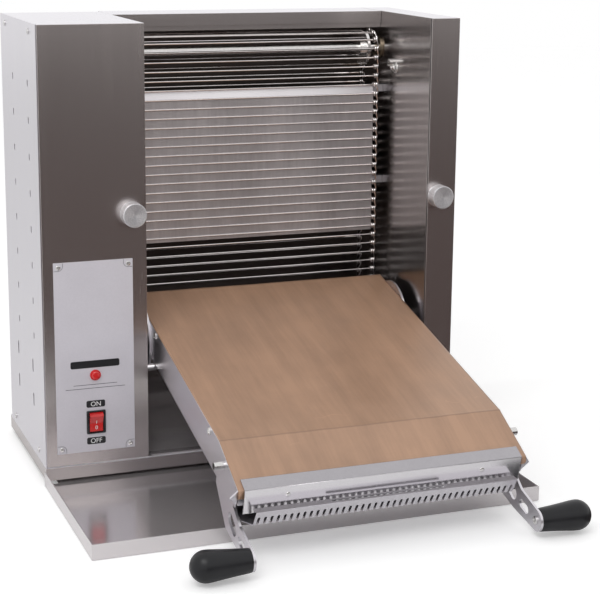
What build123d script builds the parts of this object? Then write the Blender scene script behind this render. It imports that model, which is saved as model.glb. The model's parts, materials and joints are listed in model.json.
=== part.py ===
from build123d import *
import math
import os

# Vertical contact toaster: a wire belt turns in a well between two cabinets, and a
# heated platen on a tip-out door faces it. Millimetres. X runs to the right, Y to the
# back and Z up. The values below are set out from the middle of the body (X = 0), the
# plane of the cabinet fronts (Y = 0) and the table (Z = 0). The finished pieces are
# moved so that the origin is the middle of the bottom of the bounding box.

# ---- Driving dimensions: body -------------------------------------------------------
BODY_WIDTH = 572.0
BODY_TOP = 589.0
CABINET_WIDTH = 136.4
CABINET_DEPTH = 229.0
COLUMN_WIDTH = 43.1
COLUMN_DEPTH = 239.0
CASE_SHEET = 1.5
LINER_SHEET = 2.0
FLANGE = 18.0
FOOT_HEIGHT = 5.6
FOOT_RADIUS = 15.0
FOOT_INSET = 42.0
PLINTH_HEIGHT = 18.3
HOOD_SETBACK = 16.0
HOOD_LIP = 17.0
BAFFLE_DEPTH = 23.4
BAFFLE_SETBACK = 3.0
REAR_LAP = 22.0
FOOT_CHAMFER = 1.2

# ---- Driving dimensions: belt and shafts --------------------------------------------
ROD_PITCH = 12.7
ROD_RADIUS = 1.15
HOOK_RADIUS = 1.0
HOOK_INSET = 1.5
SPROCKET_TEETH = 12
BELT_SIDE_GAP = 9.45
SHAFT_FROM_REAR = 66.07
DRIVE_SHAFT_Z = 130.7
TOP_SHAFT_DROP = 51.9
SHAFT_RADIUS = 6.0
SPROCKET_TIP = 0.7
SPROCKET_THICKNESS = 4.0
SPROCKET_INSET = 15.0
HUB_RADIUS = 11.0
HUB_LENGTH = 14.0
TOOTH_GAP_RADIUS = 1.75
TOOTH_GAP_OFFSET = 0.25
BEARING_FLANGE_RADIUS = 16.0
BEARING_FLANGE = 3.0
BEARING_RADIUS = 10.0
BEARING_LENGTH = 10.0
SHAFT_OVERHANG = 4.0

# ---- Driving dimensions: pressure plate and its adjusters ---------------------------
PLATE_TOP_DROP = 63.1
PLATE_LENGTH = 197.0
PLATE_LEAD_IN = 13.0
PLATE_LEAN = 3.0
PLATE_SHEET = 2.0
PLATE_INSET = 7.0
PLATE_TRAVEL = 6.0
ARM_THICKNESS = 6.0
ARM_HEIGHT = 10.0
ARM_LAP = 13.0
GUIDE_RISE = 7.0
GUIDE_OVERHANG = 1.5
NUT_WIDTH = 18.0
NUT_DEPTH = 16.0
KNOB_RISE = 73.0
KNOB_INSETS = (18.9, 17.1)
KNOB_RADIUS = 15.5
KNOB_LENGTH = 17.5
KNOB_BORE_DEPTH = 12.0
KNOB_CHAMFER = 1.0
SPINDLE_RADIUS = 4.0
SPINDLE_OVERHANG = 3.5
BUSH_RADIUS = 6.0
BUSH_FLANGE_RADIUS = 9.0
BUSH_LENGTH = 8.0
BUSH_FLANGE = 2.0
SUPPORT_GAP = 12.1
SUPPORT_SHEET = 3.0
SUPPORT_REACH = 30.0
SUPPORT_HEIGHT = 24.0

# ---- Driving dimensions: door -------------------------------------------------------
TOAST_GAP = 27.0
PIVOT_Z = 165.0
PIVOT_DROP = 41.4
PIVOT_FROM_REAR = 49.5
OPEN_TILT = 13.6
PLATEN_SIDE_GAP = 13.75
PLATEN_FLAT = 386.0
FLARE_LENGTH = 79.0
FLARE_ANGLE = 14.1
SHEET_SKIN = 0.8
PLATEN_THICKNESS = 12.0
SHEET_WRAP = 14.0
DOOR_SHEET = 1.5
SIDE_DEPTH = 46.0
PAN_REAR = 3.0
PAN_FRONT_GAP = 6.5
ELEMENT_RADIUS = 4.0
ELEMENT_PASSES = 5
ELEMENT_SIDE_GAP = 45.0
ELEMENT_REAR_GAP = 60.0
ELEMENT_FRONT_GAP = 30.0
BLANKET_THICKNESS = 18.0
BLANKET_REAR_GAP = 25.0
COVER_SHEET = 1.2
COVER_DEPTH = 61.0
COVER_INSET = 7.0
COVER_REAR = 60.0
COVER_OVERHANG = 10.4
COVER_CHAMFER = 10.5
STRIP_RISE = 22.2
STRIP_LEAN = 8.0
STRIP_RETURN = 12.0
STRIP_FALL = 2.0
VENT_END_GAP = 4.0
VENT_PITCH = 8.0
VENT_WIDTH = 3.2
VENT_HEIGHT = 15.0
VENT_WRAP = 2.0
LONG_SLOT_WIDTH = 144.0
LONG_SLOT_LENGTH = 4.0
LONG_SLOT_EDGE = 3.0
STANDOFF_RADIUS = 4.0
STANDOFF_INSET = 8.0
STANDOFF_REAR_GAP = 41.0
STANDOFF_FRONT_GAP = 58.0
CLIP_INSET = 7.0
CLIP_FLANGE = 16.0
CLIP_DEPTH = 50.0
TAB_REACH = 7.7
TAB_HEIGHT = 24.0
TAB_THICKNESS = 2.0
DISC_RADIUS = 50.0
DISC_THICKNESS = 3.0
GUIDE_PAST_BEND = 24.0
GUIDE_BELOW = 18.0
GUIDE_RADIUS = 5.0
GUIDE_BORE = 3.5
GUIDE_WALL_GAP = 1.0
LEVER_SHEET = 3.0
# Lever outline as (along, below): the root from the pan's lower front corner, and the
# neck, the heel and the holes from the middle of the eye.
LEVER_ROOT_TOP = ((-68.0, -16.0), (-15.0, -13.0), (-7.0, 4.0))
LEVER_ROOT_FOOT = ((-25.0, 46.0), (-70.0, 12.0))
LEVER_NECK = (-43.0, -15.6)
LEVER_HEEL = (-54.0, 16.8)
LEVER_HOLES = (((-73.0, -5.6), (-59.0, -0.6), 8.0), ((-37.0, 0.4), (-25.0, 0.9), 5.5))
GRIP_REACH = 52.4
GRIP_DROP = 30.6
LEVER_END_RADIUS = 13.5
GRIP_SMALL_RADIUS = 14.0
GRIP_RADIUS = 18.5
GRIP_LENGTH = 70.0
GRIP_BORE_DEPTH = 30.0

# ---- Driving dimensions: hinge pins and stops ---------------------------------------
PIN_RADIUS = 6.0
PIN_COLLAR_RADIUS = 10.0
PIN_NUT_RADIUS = 11.0
PIN_NUT_LENGTH = 7.0
STOP_RADIUS = 5.0
CLOSED_STOP_LENGTH = 10.0
CLOSED_STOP_LEAN = 25.0
REST_STOP_ALONG = 115.0
REST_STOP_LENGTH = 15.4

# ---- Driving dimensions: tray and chute ---------------------------------------------
TRAY_OVERHANG = 2.5
TRAY_DEPTH = 258.3
TRAY_HEIGHT = 19.3
TRAY_SHEET = 1.5
TRAY_TONGUE = 22.0
CHUTE_SHEET = 1.5
CHUTE_FOOT = 12.0
CHUTE_BELT_GAP = 5.0
CHUTE_REAR_GAP = 13.0
CHUTE_SIDE_GAP = 3.6

# ---- Driving dimensions: controls ---------------------------------------------------
CONTROL_LEFT = 15.0
CONTROL_RIGHT = 18.8
CONTROL_BOTTOM = 40.0
CONTROL_KNOB_GAP = 58.0
CONTROL_SHEET = 1.0
CONTROL_SCREW_INSET = 6.0
SWITCH_WIDTH = 25.0
SWITCH_HEIGHT = 31.0
SWITCH_BEZEL = 2.0
SWITCH_CORNER = 1.5
SWITCH_CHAMFER = 0.6
SWITCH_CENTRE_Z = 79.5
SWITCH_BODY_WIDTH = 21.8
SWITCH_BODY_HEIGHT = 28.8
SWITCH_BODY_DEPTH = 24.0
ROCKER_WIDTH = 17.4
ROCKER_END_RADIUS = 13.4
ROCKER_PIVOT_DEPTH = 5.0
ROCKER_TILT = 13.0
ROCKER_PROUD = 2.8
ROCKER_BACK = 2.5
ROCKER_BACK_HALF = 4.5
ROCKER_PIN_RADIUS = 1.5
ROCKER_PIN_REACH = 1.2
LAMP_CENTRE_Z = 142.5
LAMP_RADIUS = 7.0
LAMP_LENS_RADIUS = 5.6
LAMP_BODY_RADIUS = 5.0
LAMP_BODY_LENGTH = 22.0
LAMP_BEZEL = 2.0
LAMP_LENS_DEPTH = 3.0
LAMP_FLOOR = 0.7

# ---- Driving dimensions: inside the cabinet -----------------------------------------
GEARBOX_GAP = 39.0
GEARBOX_LENGTH = 46.0
GEARBOX_SIDE = 70.0
GEARBOX_CORNER = 8.0
MOTOR_NECK_RADIUS = 21.7
MOTOR_NECK = 8.0
MOTOR_RADIUS = 31.0
MOTOR_LENGTH = 110.0
BRACKET_SHEET = 3.0
BRACKET_SIDE = 80.0
BRACKET_POST_RADIUS = 4.0
BRACKET_POST_INSET = 10.0
THERMOSTAT_SIZE = (38.0, 44.0, 60.0)
THERMOSTAT_Y = 60.0
THERMOSTAT_Z = 205.0
THERMOSTAT_CORNER = 3.0
GLAND_RADIUS = 10.0
GLAND_THREAD_RADIUS = 7.0
GLAND_NUT = 4.0
GLAND_CHAMFER = 2.0
GLAND_BORE = 4.0
GLAND_PROUD = 9.0
GLAND_INSIDE = 10.0
GLAND_Z = 60.0

# ---- Driving dimensions: vents and fasteners ----------------------------------------
VENT_ROWS = 8
VENT_ROW_PITCH = 46.7
VENT_TOP_DROP = 76.5
VENT_COLUMNS_Y = (56.0, 152.0)
SIDE_VENT_HEIGHT = 9.0
SIDE_VENT_WIDTH = 4.0
LOW_VENT_ROWS_Z = (96.0, 142.5)
LOW_VENT_SHIFT = 12.5
LOW_VENT_HEIGHT = 18.0
LOW_VENT_WIDTH = 5.0
COVER_SCREW_FRONT = 42.4
COVER_SCREW_REAR = 33.0
COVER_SCREW_DROP = 11.0
CASE_SCREW_RADIUS = 2.0
CASE_SCREW_HEAD = 3.8
CASE_SCREW_HEAD_HEIGHT = 2.0
CASE_SCREW_LENGTH = 9.0
SMALL_SCREW_RADIUS = 1.5
SMALL_SCREW_HEAD = 3.0
SMALL_SCREW_HEAD_HEIGHT = 1.4
SMALL_SCREW_LENGTH = 7.0
DOOR_SCREW_RADIUS = 2.5
DOOR_SCREW_HEAD = 5.0
DOOR_SCREW_HEAD_HEIGHT = 2.6
DOOR_SCREW_LENGTH = 18.0
SIDE_SCREW_REAR = 112.0
SIDE_SCREW_FRONT = 34.0
SIDE_SCREW_BELOW = 7.0

# ---- Fits ---------------------------------------------------------------------------
RUNNING = 0.05
SEAT = 0.02
LOOSE = 0.5
APART = 0.35

# ---- Places worked out from the driving dimensions ----------------------------------
BODY_LEFT = -BODY_WIDTH / 2
BODY_RIGHT = BODY_WIDTH / 2
WELL_LEFT = BODY_LEFT + CABINET_WIDTH
WELL_RIGHT = BODY_RIGHT - COLUMN_WIDTH
WELL_MIDDLE = (WELL_LEFT + WELL_RIGHT) / 2
WELL_WIDTH = WELL_RIGHT - WELL_LEFT
PLINTH_TOP = FOOT_HEIGHT + PLINTH_HEIGHT
UNDER_TOP = BODY_TOP - CASE_SHEET
CABINET_WALL = (WELL_LEFT - CASE_SHEET, WELL_LEFT)
COLUMN_WALL = (WELL_RIGHT, WELL_RIGHT + LINER_SHEET)
REAR_FACE = COLUMN_DEPTH
PITCH_RADIUS = ROD_PITCH / (2 * math.sin(math.pi / SPROCKET_TEETH))
SHAFT_Y = REAR_FACE - SHAFT_FROM_REAR
BELT_PITCHES = round((BODY_TOP - TOP_SHAFT_DROP - DRIVE_SHAFT_Z) / ROD_PITCH)
TOP_SHAFT_Z = DRIVE_SHAFT_Z + ROD_PITCH * BELT_PITCHES
BELT_FRONT = SHAFT_Y - PITCH_RADIUS
BELT_REAR = SHAFT_Y + PITCH_RADIUS
BELT_ENDS = (WELL_LEFT + BELT_SIDE_GAP, WELL_RIGHT - BELT_SIDE_GAP)
HOOD_FRONT = BELT_FRONT + HOOD_SETBACK
CHUTE_TOP = DRIVE_SHAFT_Z - PITCH_RADIUS - ROD_RADIUS - CHUTE_BELT_GAP
CHUTE_BACK = REAR_FACE - CHUTE_REAR_GAP
PLATE_FRONT = BELT_FRONT + ROD_RADIUS + APART
PLATE_BACK = PLATE_FRONT + PLATE_SHEET
GUIDE_FRONT = PLATE_BACK + PLATE_LEAN
PLATE_FLAT_TOP = TOP_SHAFT_Z - PLATE_TOP_DROP
PLATE_BOTTOM = PLATE_FLAT_TOP - PLATE_LENGTH
GUIDE_Z = PLATE_FLAT_TOP + GUIDE_RISE
KNOB_Z = PLATE_BOTTOM + KNOB_RISE
KNOB_X = (WELL_LEFT - KNOB_INSETS[0], WELL_RIGHT + KNOB_INSETS[1])
SUPPORT_Y = PLATE_BACK + NUT_DEPTH + PLATE_TRAVEL + SUPPORT_GAP
PIVOT_Y = BELT_FRONT - TOAST_GAP - PIVOT_DROP
DOOR_ENDS = (WELL_LEFT + PLATEN_SIDE_GAP, WELL_RIGHT - PLATEN_SIDE_GAP)
PLATEN_WIDTH = DOOR_ENDS[1] - DOOR_ENDS[0]
COVER_WIDTH = PLATEN_WIDTH - 2 * COVER_INSET
CLIP_WIDTH = PLATEN_WIDTH - 2 * CLIP_INSET
TRAY_WIDTH = BODY_WIDTH + 2 * TRAY_OVERHANG
SIDES = (-1, 1)
FLARE = math.radians(FLARE_ANGLE)
TILT = math.radians(OPEN_TILT)
PLATEN_END = PLATEN_FLAT + FLARE_LENGTH * math.cos(FLARE)
GRIP_ALONG = PLATEN_END + GRIP_REACH
GRIP_BELOW = SIDE_DEPTH + GRIP_DROP
GUIDE_ALONG = PLATEN_FLAT + GUIDE_PAST_BEND
COVER_FRONT = PLATEN_END + COVER_OVERHANG
SIDE_SCREWS_ALONG = (SIDE_SCREW_REAR, PLATEN_FLAT - SIDE_SCREW_FRONT)
UNDERSIDE = SHEET_SKIN + PLATEN_THICKNESS
PAN_FLOOR = SIDE_DEPTH - DOOR_SHEET
CONTROL_X = (BODY_LEFT + CONTROL_LEFT, WELL_LEFT - CONTROL_RIGHT)
CONTROL_MIDDLE = sum(CONTROL_X) / 2
CONTROL_TOP = KNOB_Z - CONTROL_KNOB_GAP
LOW = (Align.MIN, Align.MIN, Align.MIN)
FOOTED = (Align.CENTER, Align.CENTER, Align.MIN)


# ---- Shape helpers ------------------------------------------------------------------
def slab(x, y, z):
    """A box between the pairs of limits x, y and z."""
    return Pos(x[0], y[0], z[0]) * Box(x[1] - x[0], y[1] - y[0], z[1] - z[0], align=LOW)


def round_bar(start, direction, radius, length):
    """A round bar from a point along a direction."""
    return Plane(start, z_dir=direction).location * Cylinder(radius, length, align=FOOTED)


def bar_x(x, y, z, radius):
    """A round bar along X between the limits x."""
    return round_bar((x[0], y, z), (1, 0, 0), radius, x[1] - x[0])


def bar_y(x, y, z, radius):
    """A round bar along Y between the limits y."""
    return round_bar((x, y[0], z), (0, 1, 0), radius, y[1] - y[0])


def screw(seat, direction, radius, length, head_radius, head_height):
    """A pan-head screw whose shank runs from its seat along a direction."""
    head = round_bar(seat, [-value for value in direction], head_radius, head_height)
    head = fillet(head.faces().sort_by(Axis(seat, direction))[0].edges(), head_height * 0.45)
    return head + round_bar(seat, direction, radius, length)


def prism_x(points, x):
    """A solid with a polygon of (y, z) points as its section, between the limits x."""
    outline = Plane.YZ.offset(x[0]) * Polyline(*points, close=True)
    return extrude(make_face(outline), x[1] - x[0], dir=(1, 0, 0))


def group(pieces):
    """Separate solids that share one node."""
    return Compound([solid for piece in pieces for solid in piece.solids()])


def outward(side):
    """The X direction that points out of the well on one side."""
    return (side, 0, 0)


def side_limits(side, inner, outer):
    """Limits in X between two distances from the middle of the well, on one side."""
    ends = sorted((WELL_MIDDLE + side * inner, WELL_MIDDLE + side * outer))
    return (ends[0], ends[1])


# ---- Door frame of reference --------------------------------------------------------
# Door pieces are drawn with "along", the distance from the platen's rear edge towards
# its free end, and "below", the depth under the cooking surface.
def door_section(along, below):
    """A door point as (y, z) about the pivot, with the platen level."""
    return (PIVOT_FROM_REAR - along, PIVOT_DROP - below)


def hang(shape):
    """Place a piece drawn about the pivot on the open door."""
    return Pos(0, PIVOT_Y, PIVOT_Z) * Rot(OPEN_TILT, 0, 0) * shape


def door_prism(points, x):
    """A door piece with a polygon of (along, below) points as its section."""
    return prism_x([door_section(*point) for point in points], x)


def door_bar(x, along, below, radius):
    """A round bar along X on the door."""
    y, z = door_section(along, below)
    return bar_x(x, y, z, radius)


def open_point(along, below):
    """Where a door point lies, as (y, z), while the door is open."""
    y, z = door_section(along, below)
    turned_y = y * math.cos(TILT) - z * math.sin(TILT)
    turned_z = y * math.sin(TILT) + z * math.cos(TILT)
    return (PIVOT_Y + turned_y, PIVOT_Z + turned_z)


def closed_point(along, below):
    """Where a door point lies, as (y, z), while the door is shut."""
    y, z = door_section(along, below)
    return (PIVOT_Y + z, PIVOT_Z - y)


def flare_point(run, depth):
    """A point at a run past the bend and a depth under the flared surface."""
    along = PLATEN_FLAT + run * math.cos(FLARE) - depth * math.sin(FLARE)
    return (along, run * math.sin(FLARE) + depth * math.cos(FLARE))


def surface_path(depth, run):
    """The platen's profile at a depth, from the rear edge to a run past the bend."""
    bend = (PLATEN_FLAT - depth * math.tan(FLARE / 2), depth)
    return [(0, depth), bend, flare_point(run, depth)]


# ---- Body ---------------------------------------------------------------------------
def base_pan():
    outer = slab((BODY_LEFT, BODY_RIGHT), (0, REAR_FACE), (FOOT_HEIGHT, PLINTH_TOP - CASE_SHEET))
    inner = slab(
        (BODY_LEFT + CASE_SHEET, BODY_RIGHT - CASE_SHEET),
        (CASE_SHEET, REAR_FACE - CASE_SHEET),
        (FOOT_HEIGHT + CASE_SHEET, PLINTH_TOP),
    )
    return outer - inner


def base_deck():
    return slab((BODY_LEFT, BODY_RIGHT), (0, REAR_FACE), (PLINTH_TOP - CASE_SHEET, PLINTH_TOP))


def rubber_feet():
    feet = []
    for x in (BODY_LEFT + FOOT_INSET, BODY_RIGHT - FOOT_INSET):
        for y in (FOOT_INSET, REAR_FACE - FOOT_INSET):
            foot = round_bar((x, y, 0), (0, 0, 1), FOOT_RADIUS, FOOT_HEIGHT)
            feet.append(chamfer(foot.faces().sort_by(Axis.Z)[0].edges(), FOOT_CHAMFER))
    return group(feet)


def cover_screw_places():
    """The (y, z) places of the screws that hold the cabinet's side cover."""
    heights = (PLINTH_TOP + COVER_SCREW_DROP, BODY_TOP - COVER_SCREW_DROP)
    return [(y, z) for y in (COVER_SCREW_FRONT, CABINET_DEPTH - COVER_SCREW_REAR) for z in heights]


def control_screw_places():
    """The (x, z) places of the screws of the control plate."""
    columns = (CONTROL_X[0] + CONTROL_SCREW_INSET, CONTROL_X[1] - CONTROL_SCREW_INSET)
    rows = (CONTROL_BOTTOM + CONTROL_SCREW_INSET, CONTROL_TOP - CONTROL_SCREW_INSET)
    return [(x, z) for x in columns for z in rows]


def wall_slots(side):
    """Cutters for the slots in a well wall that the pressure plate's arms run in."""
    wall = CABINET_WALL if side < 0 else COLUMN_WALL
    x = (wall[0] - 1, wall[1] + 1)
    cutters = []
    for front, height in ((PLATE_BACK, KNOB_Z), (GUIDE_FRONT, GUIDE_Z)):
        y = (front - LOOSE, front + ARM_THICKNESS + PLATE_TRAVEL + LOOSE)
        half = ARM_HEIGHT / 2 + LOOSE
        cutters.append(slab(x, y, (height - half, height + half)))
    return cutters


def wall_bores(side):
    """Cutters for the bearings and the hinge pin in a well wall."""
    wall = CABINET_WALL if side < 0 else COLUMN_WALL
    x = (wall[0] - 1, wall[1] + 1)
    cutters = [bar_x(x, SHAFT_Y, z, BEARING_RADIUS + SEAT) for z in (DRIVE_SHAFT_Z, TOP_SHAFT_Z)]
    cutters.append(bar_x(x, PIVOT_Y, PIVOT_Z, PIN_RADIUS + SEAT))
    return cutters


def cabinet_front_holes():
    """Cutters for what passes through the cabinet front."""
    y = (-CONTROL_SHEET - 1, CASE_SHEET + 1)
    half_width = SWITCH_BODY_WIDTH / 2 + RUNNING
    half_height = SWITCH_BODY_HEIGHT / 2 + RUNNING
    switch = slab(
        (CONTROL_MIDDLE - half_width, CONTROL_MIDDLE + half_width),
        y,
        (SWITCH_CENTRE_Z - half_height, SWITCH_CENTRE_Z + half_height),
    )
    lamp = bar_y(CONTROL_MIDDLE, y, LAMP_CENTRE_Z, LAMP_BODY_RADIUS + RUNNING)
    screws = [
        bar_y(x, y, z, SMALL_SCREW_RADIUS + RUNNING) for x, z in control_screw_places()
    ]
    return [switch, lamp, *screws]


def cabinet_shell():
    outer_x = (BODY_LEFT + CASE_SHEET, WELL_LEFT)
    outer = slab(outer_x, (0, CABINET_DEPTH), (PLINTH_TOP, BODY_TOP))
    inner = slab(
        (BODY_LEFT, WELL_LEFT - CASE_SHEET),
        (CASE_SHEET, CABINET_DEPTH - CASE_SHEET),
        (PLINTH_TOP + CASE_SHEET, UNDER_TOP),
    )
    shell = outer - inner
    flange_x = (outer_x[0], outer_x[0] + CASE_SHEET)
    flange_y = (CASE_SHEET, CABINET_DEPTH - CASE_SHEET)
    shell += slab(flange_x, flange_y, (UNDER_TOP - FLANGE, UNDER_TOP))
    low = PLINTH_TOP + CASE_SHEET
    shell += slab(flange_x, flange_y, (low, low + FLANGE))
    for y, z in cover_screw_places():
        shell -= bar_x((BODY_LEFT, flange_x[1] + 1), y, z, CASE_SCREW_RADIUS + RUNNING)
    shell -= bar_y(KNOB_X[0], (-1, CASE_SHEET + 1), KNOB_Z, BUSH_RADIUS + SEAT)
    back = (CABINET_DEPTH - CASE_SHEET - 1, CABINET_DEPTH + 1)
    shell -= bar_y(CONTROL_MIDDLE, back, GLAND_Z, GLAND_THREAD_RADIUS + SEAT)
    return shell - (wall_slots(-1) + wall_bores(-1) + cabinet_front_holes())


def side_vent(y, z, width, height):
    """A cutter for one upright oblong vent in the cabinet's side cover."""
    slot = Plane.YZ.offset(BODY_LEFT - 1) * Pos(y, z) * SlotOverall(height, width, rotation=90)
    return extrude(slot, CASE_SHEET + 2, dir=(1, 0, 0))


def cabinet_side_cover():
    cover = slab((BODY_LEFT, BODY_LEFT + CASE_SHEET), (0, CABINET_DEPTH), (PLINTH_TOP, BODY_TOP))
    cutters = []
    for y in VENT_COLUMNS_Y:
        for row in range(VENT_ROWS):
            z = BODY_TOP - VENT_TOP_DROP - row * VENT_ROW_PITCH
            cutters.append(side_vent(y, z, SIDE_VENT_WIDTH, SIDE_VENT_HEIGHT))
        for z in LOW_VENT_ROWS_Z:
            cutters.append(side_vent(y + LOW_VENT_SHIFT, z, LOW_VENT_WIDTH, LOW_VENT_HEIGHT))
    for y, z in cover_screw_places():
        x = (BODY_LEFT - 1, BODY_LEFT + CASE_SHEET + 1)
        cutters.append(bar_x(x, y, z, CASE_SCREW_RADIUS + RUNNING))
    return cover - cutters


def cover_screws():
    return group(
        screw(
            (BODY_LEFT, y, z),
            (1, 0, 0),
            CASE_SCREW_RADIUS,
            CASE_SCREW_LENGTH,
            CASE_SCREW_HEAD,
            CASE_SCREW_HEAD_HEIGHT,
        )
        for y, z in cover_screw_places()
    )


def column_shell():
    outer = slab((COLUMN_WALL[1], BODY_RIGHT), (0, COLUMN_DEPTH), (PLINTH_TOP, BODY_TOP))
    inner = slab(
        (WELL_RIGHT, BODY_RIGHT - CASE_SHEET),
        (CASE_SHEET, COLUMN_DEPTH - CASE_SHEET),
        (PLINTH_TOP + CASE_SHEET, UNDER_TOP),
    )
    bush = bar_y(KNOB_X[1], (-1, CASE_SHEET + 1), KNOB_Z, BUSH_RADIUS + SEAT)
    return outer - inner - bush


def column_liner():
    liner = slab(COLUMN_WALL, (0, COLUMN_DEPTH), (PLINTH_TOP, BODY_TOP))
    return liner - (wall_slots(1) + wall_bores(1))


def rear_panel():
    z = (PLINTH_TOP, UNDER_TOP)
    back = slab((WELL_LEFT, WELL_RIGHT), (REAR_FACE - CASE_SHEET, REAR_FACE), z)
    lap_y = (CABINET_DEPTH - REAR_LAP, REAR_FACE - CASE_SHEET)
    return back + slab((WELL_LEFT, WELL_LEFT + CASE_SHEET), lap_y, z)


def top_cover():
    x = (WELL_LEFT, WELL_RIGHT)
    cover = slab(x, (HOOD_FRONT, REAR_FACE), (UNDER_TOP, BODY_TOP))
    cover += slab(x, (HOOD_FRONT, HOOD_FRONT + CASE_SHEET), (BODY_TOP - HOOD_LIP, UNDER_TOP))
    baffle = HOOD_FRONT + BAFFLE_SETBACK
    return cover + slab(x, (baffle, baffle + CASE_SHEET), (BODY_TOP - BAFFLE_DEPTH, UNDER_TOP))


def exit_chute():
    front = 2 * CHUTE_SHEET
    low = PLINTH_TOP
    outer = [
        (front, low),
        (CHUTE_BACK, low),
        (CHUTE_BACK, CHUTE_TOP),
        (front + CHUTE_FOOT, low + CHUTE_SHEET),
        (front, low + CHUTE_SHEET),
    ]
    run = CHUTE_BACK - front - CHUTE_FOOT
    slope = (CHUTE_TOP - low - CHUTE_SHEET) / run
    drop = CHUTE_SHEET * math.sqrt(1 + slope * slope)
    inside_back = CHUTE_BACK - CHUTE_SHEET
    inner = [
        (front + CHUTE_FOOT + (drop - CHUTE_SHEET) / slope, low),
        (inside_back, low),
        (inside_back, CHUTE_TOP - drop - slope * CHUTE_SHEET),
    ]
    x = (WELL_LEFT + CHUTE_SIDE_GAP, WELL_RIGHT - CHUTE_SIDE_GAP)
    return prism_x(outer, x) - prism_x(inner, (x[0] - 1, x[1] + 1))


def landing_tray():
    """An open tray whose tongue slips under the base pan and lifts against it."""
    half = TRAY_WIDTH / 2
    rear = -APART
    outer = slab((-half, half), (-TRAY_DEPTH, rear), (0, TRAY_HEIGHT))
    inner = slab(
        (-half + TRAY_SHEET, half - TRAY_SHEET),
        (-TRAY_DEPTH + TRAY_SHEET, rear + 1),
        (TRAY_SHEET, TRAY_HEIGHT + 1),
    )
    tongue_x = (-half + FLANGE, half - FLANGE)
    tongue = slab(tongue_x, (rear, TRAY_TONGUE), (0, TRAY_SHEET))
    lip_y = (TRAY_TONGUE - TRAY_SHEET, TRAY_TONGUE)
    return outer - inner + tongue + slab(tongue_x, lip_y, (0, FOOT_HEIGHT - APART))


# ---- Controls -----------------------------------------------------------------------
def control_plate():
    z = (CONTROL_BOTTOM, CONTROL_TOP)
    return slab(CONTROL_X, (-CONTROL_SHEET, 0), z) - cabinet_front_holes()


def plate_screws():
    return group(
        screw(
            (x, -CONTROL_SHEET, z),
            (0, 1, 0),
            SMALL_SCREW_RADIUS,
            SMALL_SCREW_LENGTH,
            SMALL_SCREW_HEAD,
            SMALL_SCREW_HEAD_HEIGHT,
        )
        for x, z in control_screw_places()
    )


def rocker_pivot_y():
    return -CONTROL_SHEET - SWITCH_BEZEL + ROCKER_PIVOT_DEPTH


def switch_body():
    face = -CONTROL_SHEET
    x = (CONTROL_MIDDLE - SWITCH_WIDTH / 2, CONTROL_MIDDLE + SWITCH_WIDTH / 2)
    z = (SWITCH_CENTRE_Z - SWITCH_HEIGHT / 2, SWITCH_CENTRE_Z + SWITCH_HEIGHT / 2)
    bezel = slab(x, (face - SWITCH_BEZEL, face), z)
    bezel = fillet(bezel.edges().filter_by(Axis.Y), SWITCH_CORNER)
    bezel = chamfer(bezel.faces().sort_by(Axis.Y)[0].edges(), SWITCH_CHAMFER)
    half_width = SWITCH_BODY_WIDTH / 2
    half_height = SWITCH_BODY_HEIGHT / 2
    body = slab(
        (CONTROL_MIDDLE - half_width, CONTROL_MIDDLE + half_width),
        (face, SWITCH_BODY_DEPTH),
        (SWITCH_CENTRE_Z - half_height, SWITCH_CENTRE_Z + half_height),
    )
    cavity_x = ROCKER_WIDTH / 2 + APART
    cavity_z = ROCKER_END_RADIUS + APART
    cavity = slab(
        (CONTROL_MIDDLE - cavity_x, CONTROL_MIDDLE + cavity_x),
        (face - SWITCH_BEZEL - 1, rocker_pivot_y() + ROCKER_PIVOT_DEPTH),
        (SWITCH_CENTRE_Z - cavity_z, SWITCH_CENTRE_Z + cavity_z),
    )
    reach = ROCKER_WIDTH / 2 + ROCKER_PIN_REACH + LOOSE
    pins = bar_x(
        (CONTROL_MIDDLE - reach, CONTROL_MIDDLE + reach),
        rocker_pivot_y(),
        SWITCH_CENTRE_Z,
        ROCKER_PIN_RADIUS + RUNNING,
    )
    return bezel + body - cavity - pins


def switch_rocker():
    """A rocker with a shallow V front and round ends, tipped so that its foot is pressed in."""
    front = -ROCKER_PIVOT_DEPTH - ROCKER_PROUD
    half = math.sqrt(ROCKER_END_RADIUS**2 - front**2)
    valley = front + half * math.tan(math.radians(ROCKER_TILT))
    outline = [
        (front, -half),
        (valley, 0),
        (front, half),
        (0, ROCKER_END_RADIUS),
        (ROCKER_BACK, ROCKER_BACK_HALF),
        (ROCKER_BACK, -ROCKER_BACK_HALF),
        (0, -ROCKER_END_RADIUS),
    ]
    x = (-ROCKER_WIDTH / 2, ROCKER_WIDTH / 2)
    ends = bar_x(x, 0, 0, ROCKER_END_RADIUS) & slab(x, (front, 0), (-half * 2, half * 2))
    ends -= slab(x, (front, 0), (-half, half))
    rocker = prism_x(outline, x) + ends
    reach = ROCKER_WIDTH / 2 + ROCKER_PIN_REACH
    rocker += bar_x((-reach, reach), 0, 0, ROCKER_PIN_RADIUS)
    place = Pos(CONTROL_MIDDLE, rocker_pivot_y(), SWITCH_CENTRE_Z)
    return place * Rot(ROCKER_TILT, 0, 0) * rocker


def lamp_body():
    face = -CONTROL_SHEET
    body = bar_y(CONTROL_MIDDLE, (face - LAMP_BEZEL, face), LAMP_CENTRE_Z, LAMP_RADIUS)
    body += bar_y(CONTROL_MIDDLE, (face, LAMP_BODY_LENGTH), LAMP_CENTRE_Z, LAMP_BODY_RADIUS)
    seat = (face - LAMP_BEZEL - 1, face - LAMP_FLOOR)
    return body - bar_y(CONTROL_MIDDLE, seat, LAMP_CENTRE_Z, LAMP_LENS_RADIUS + SEAT)


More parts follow.
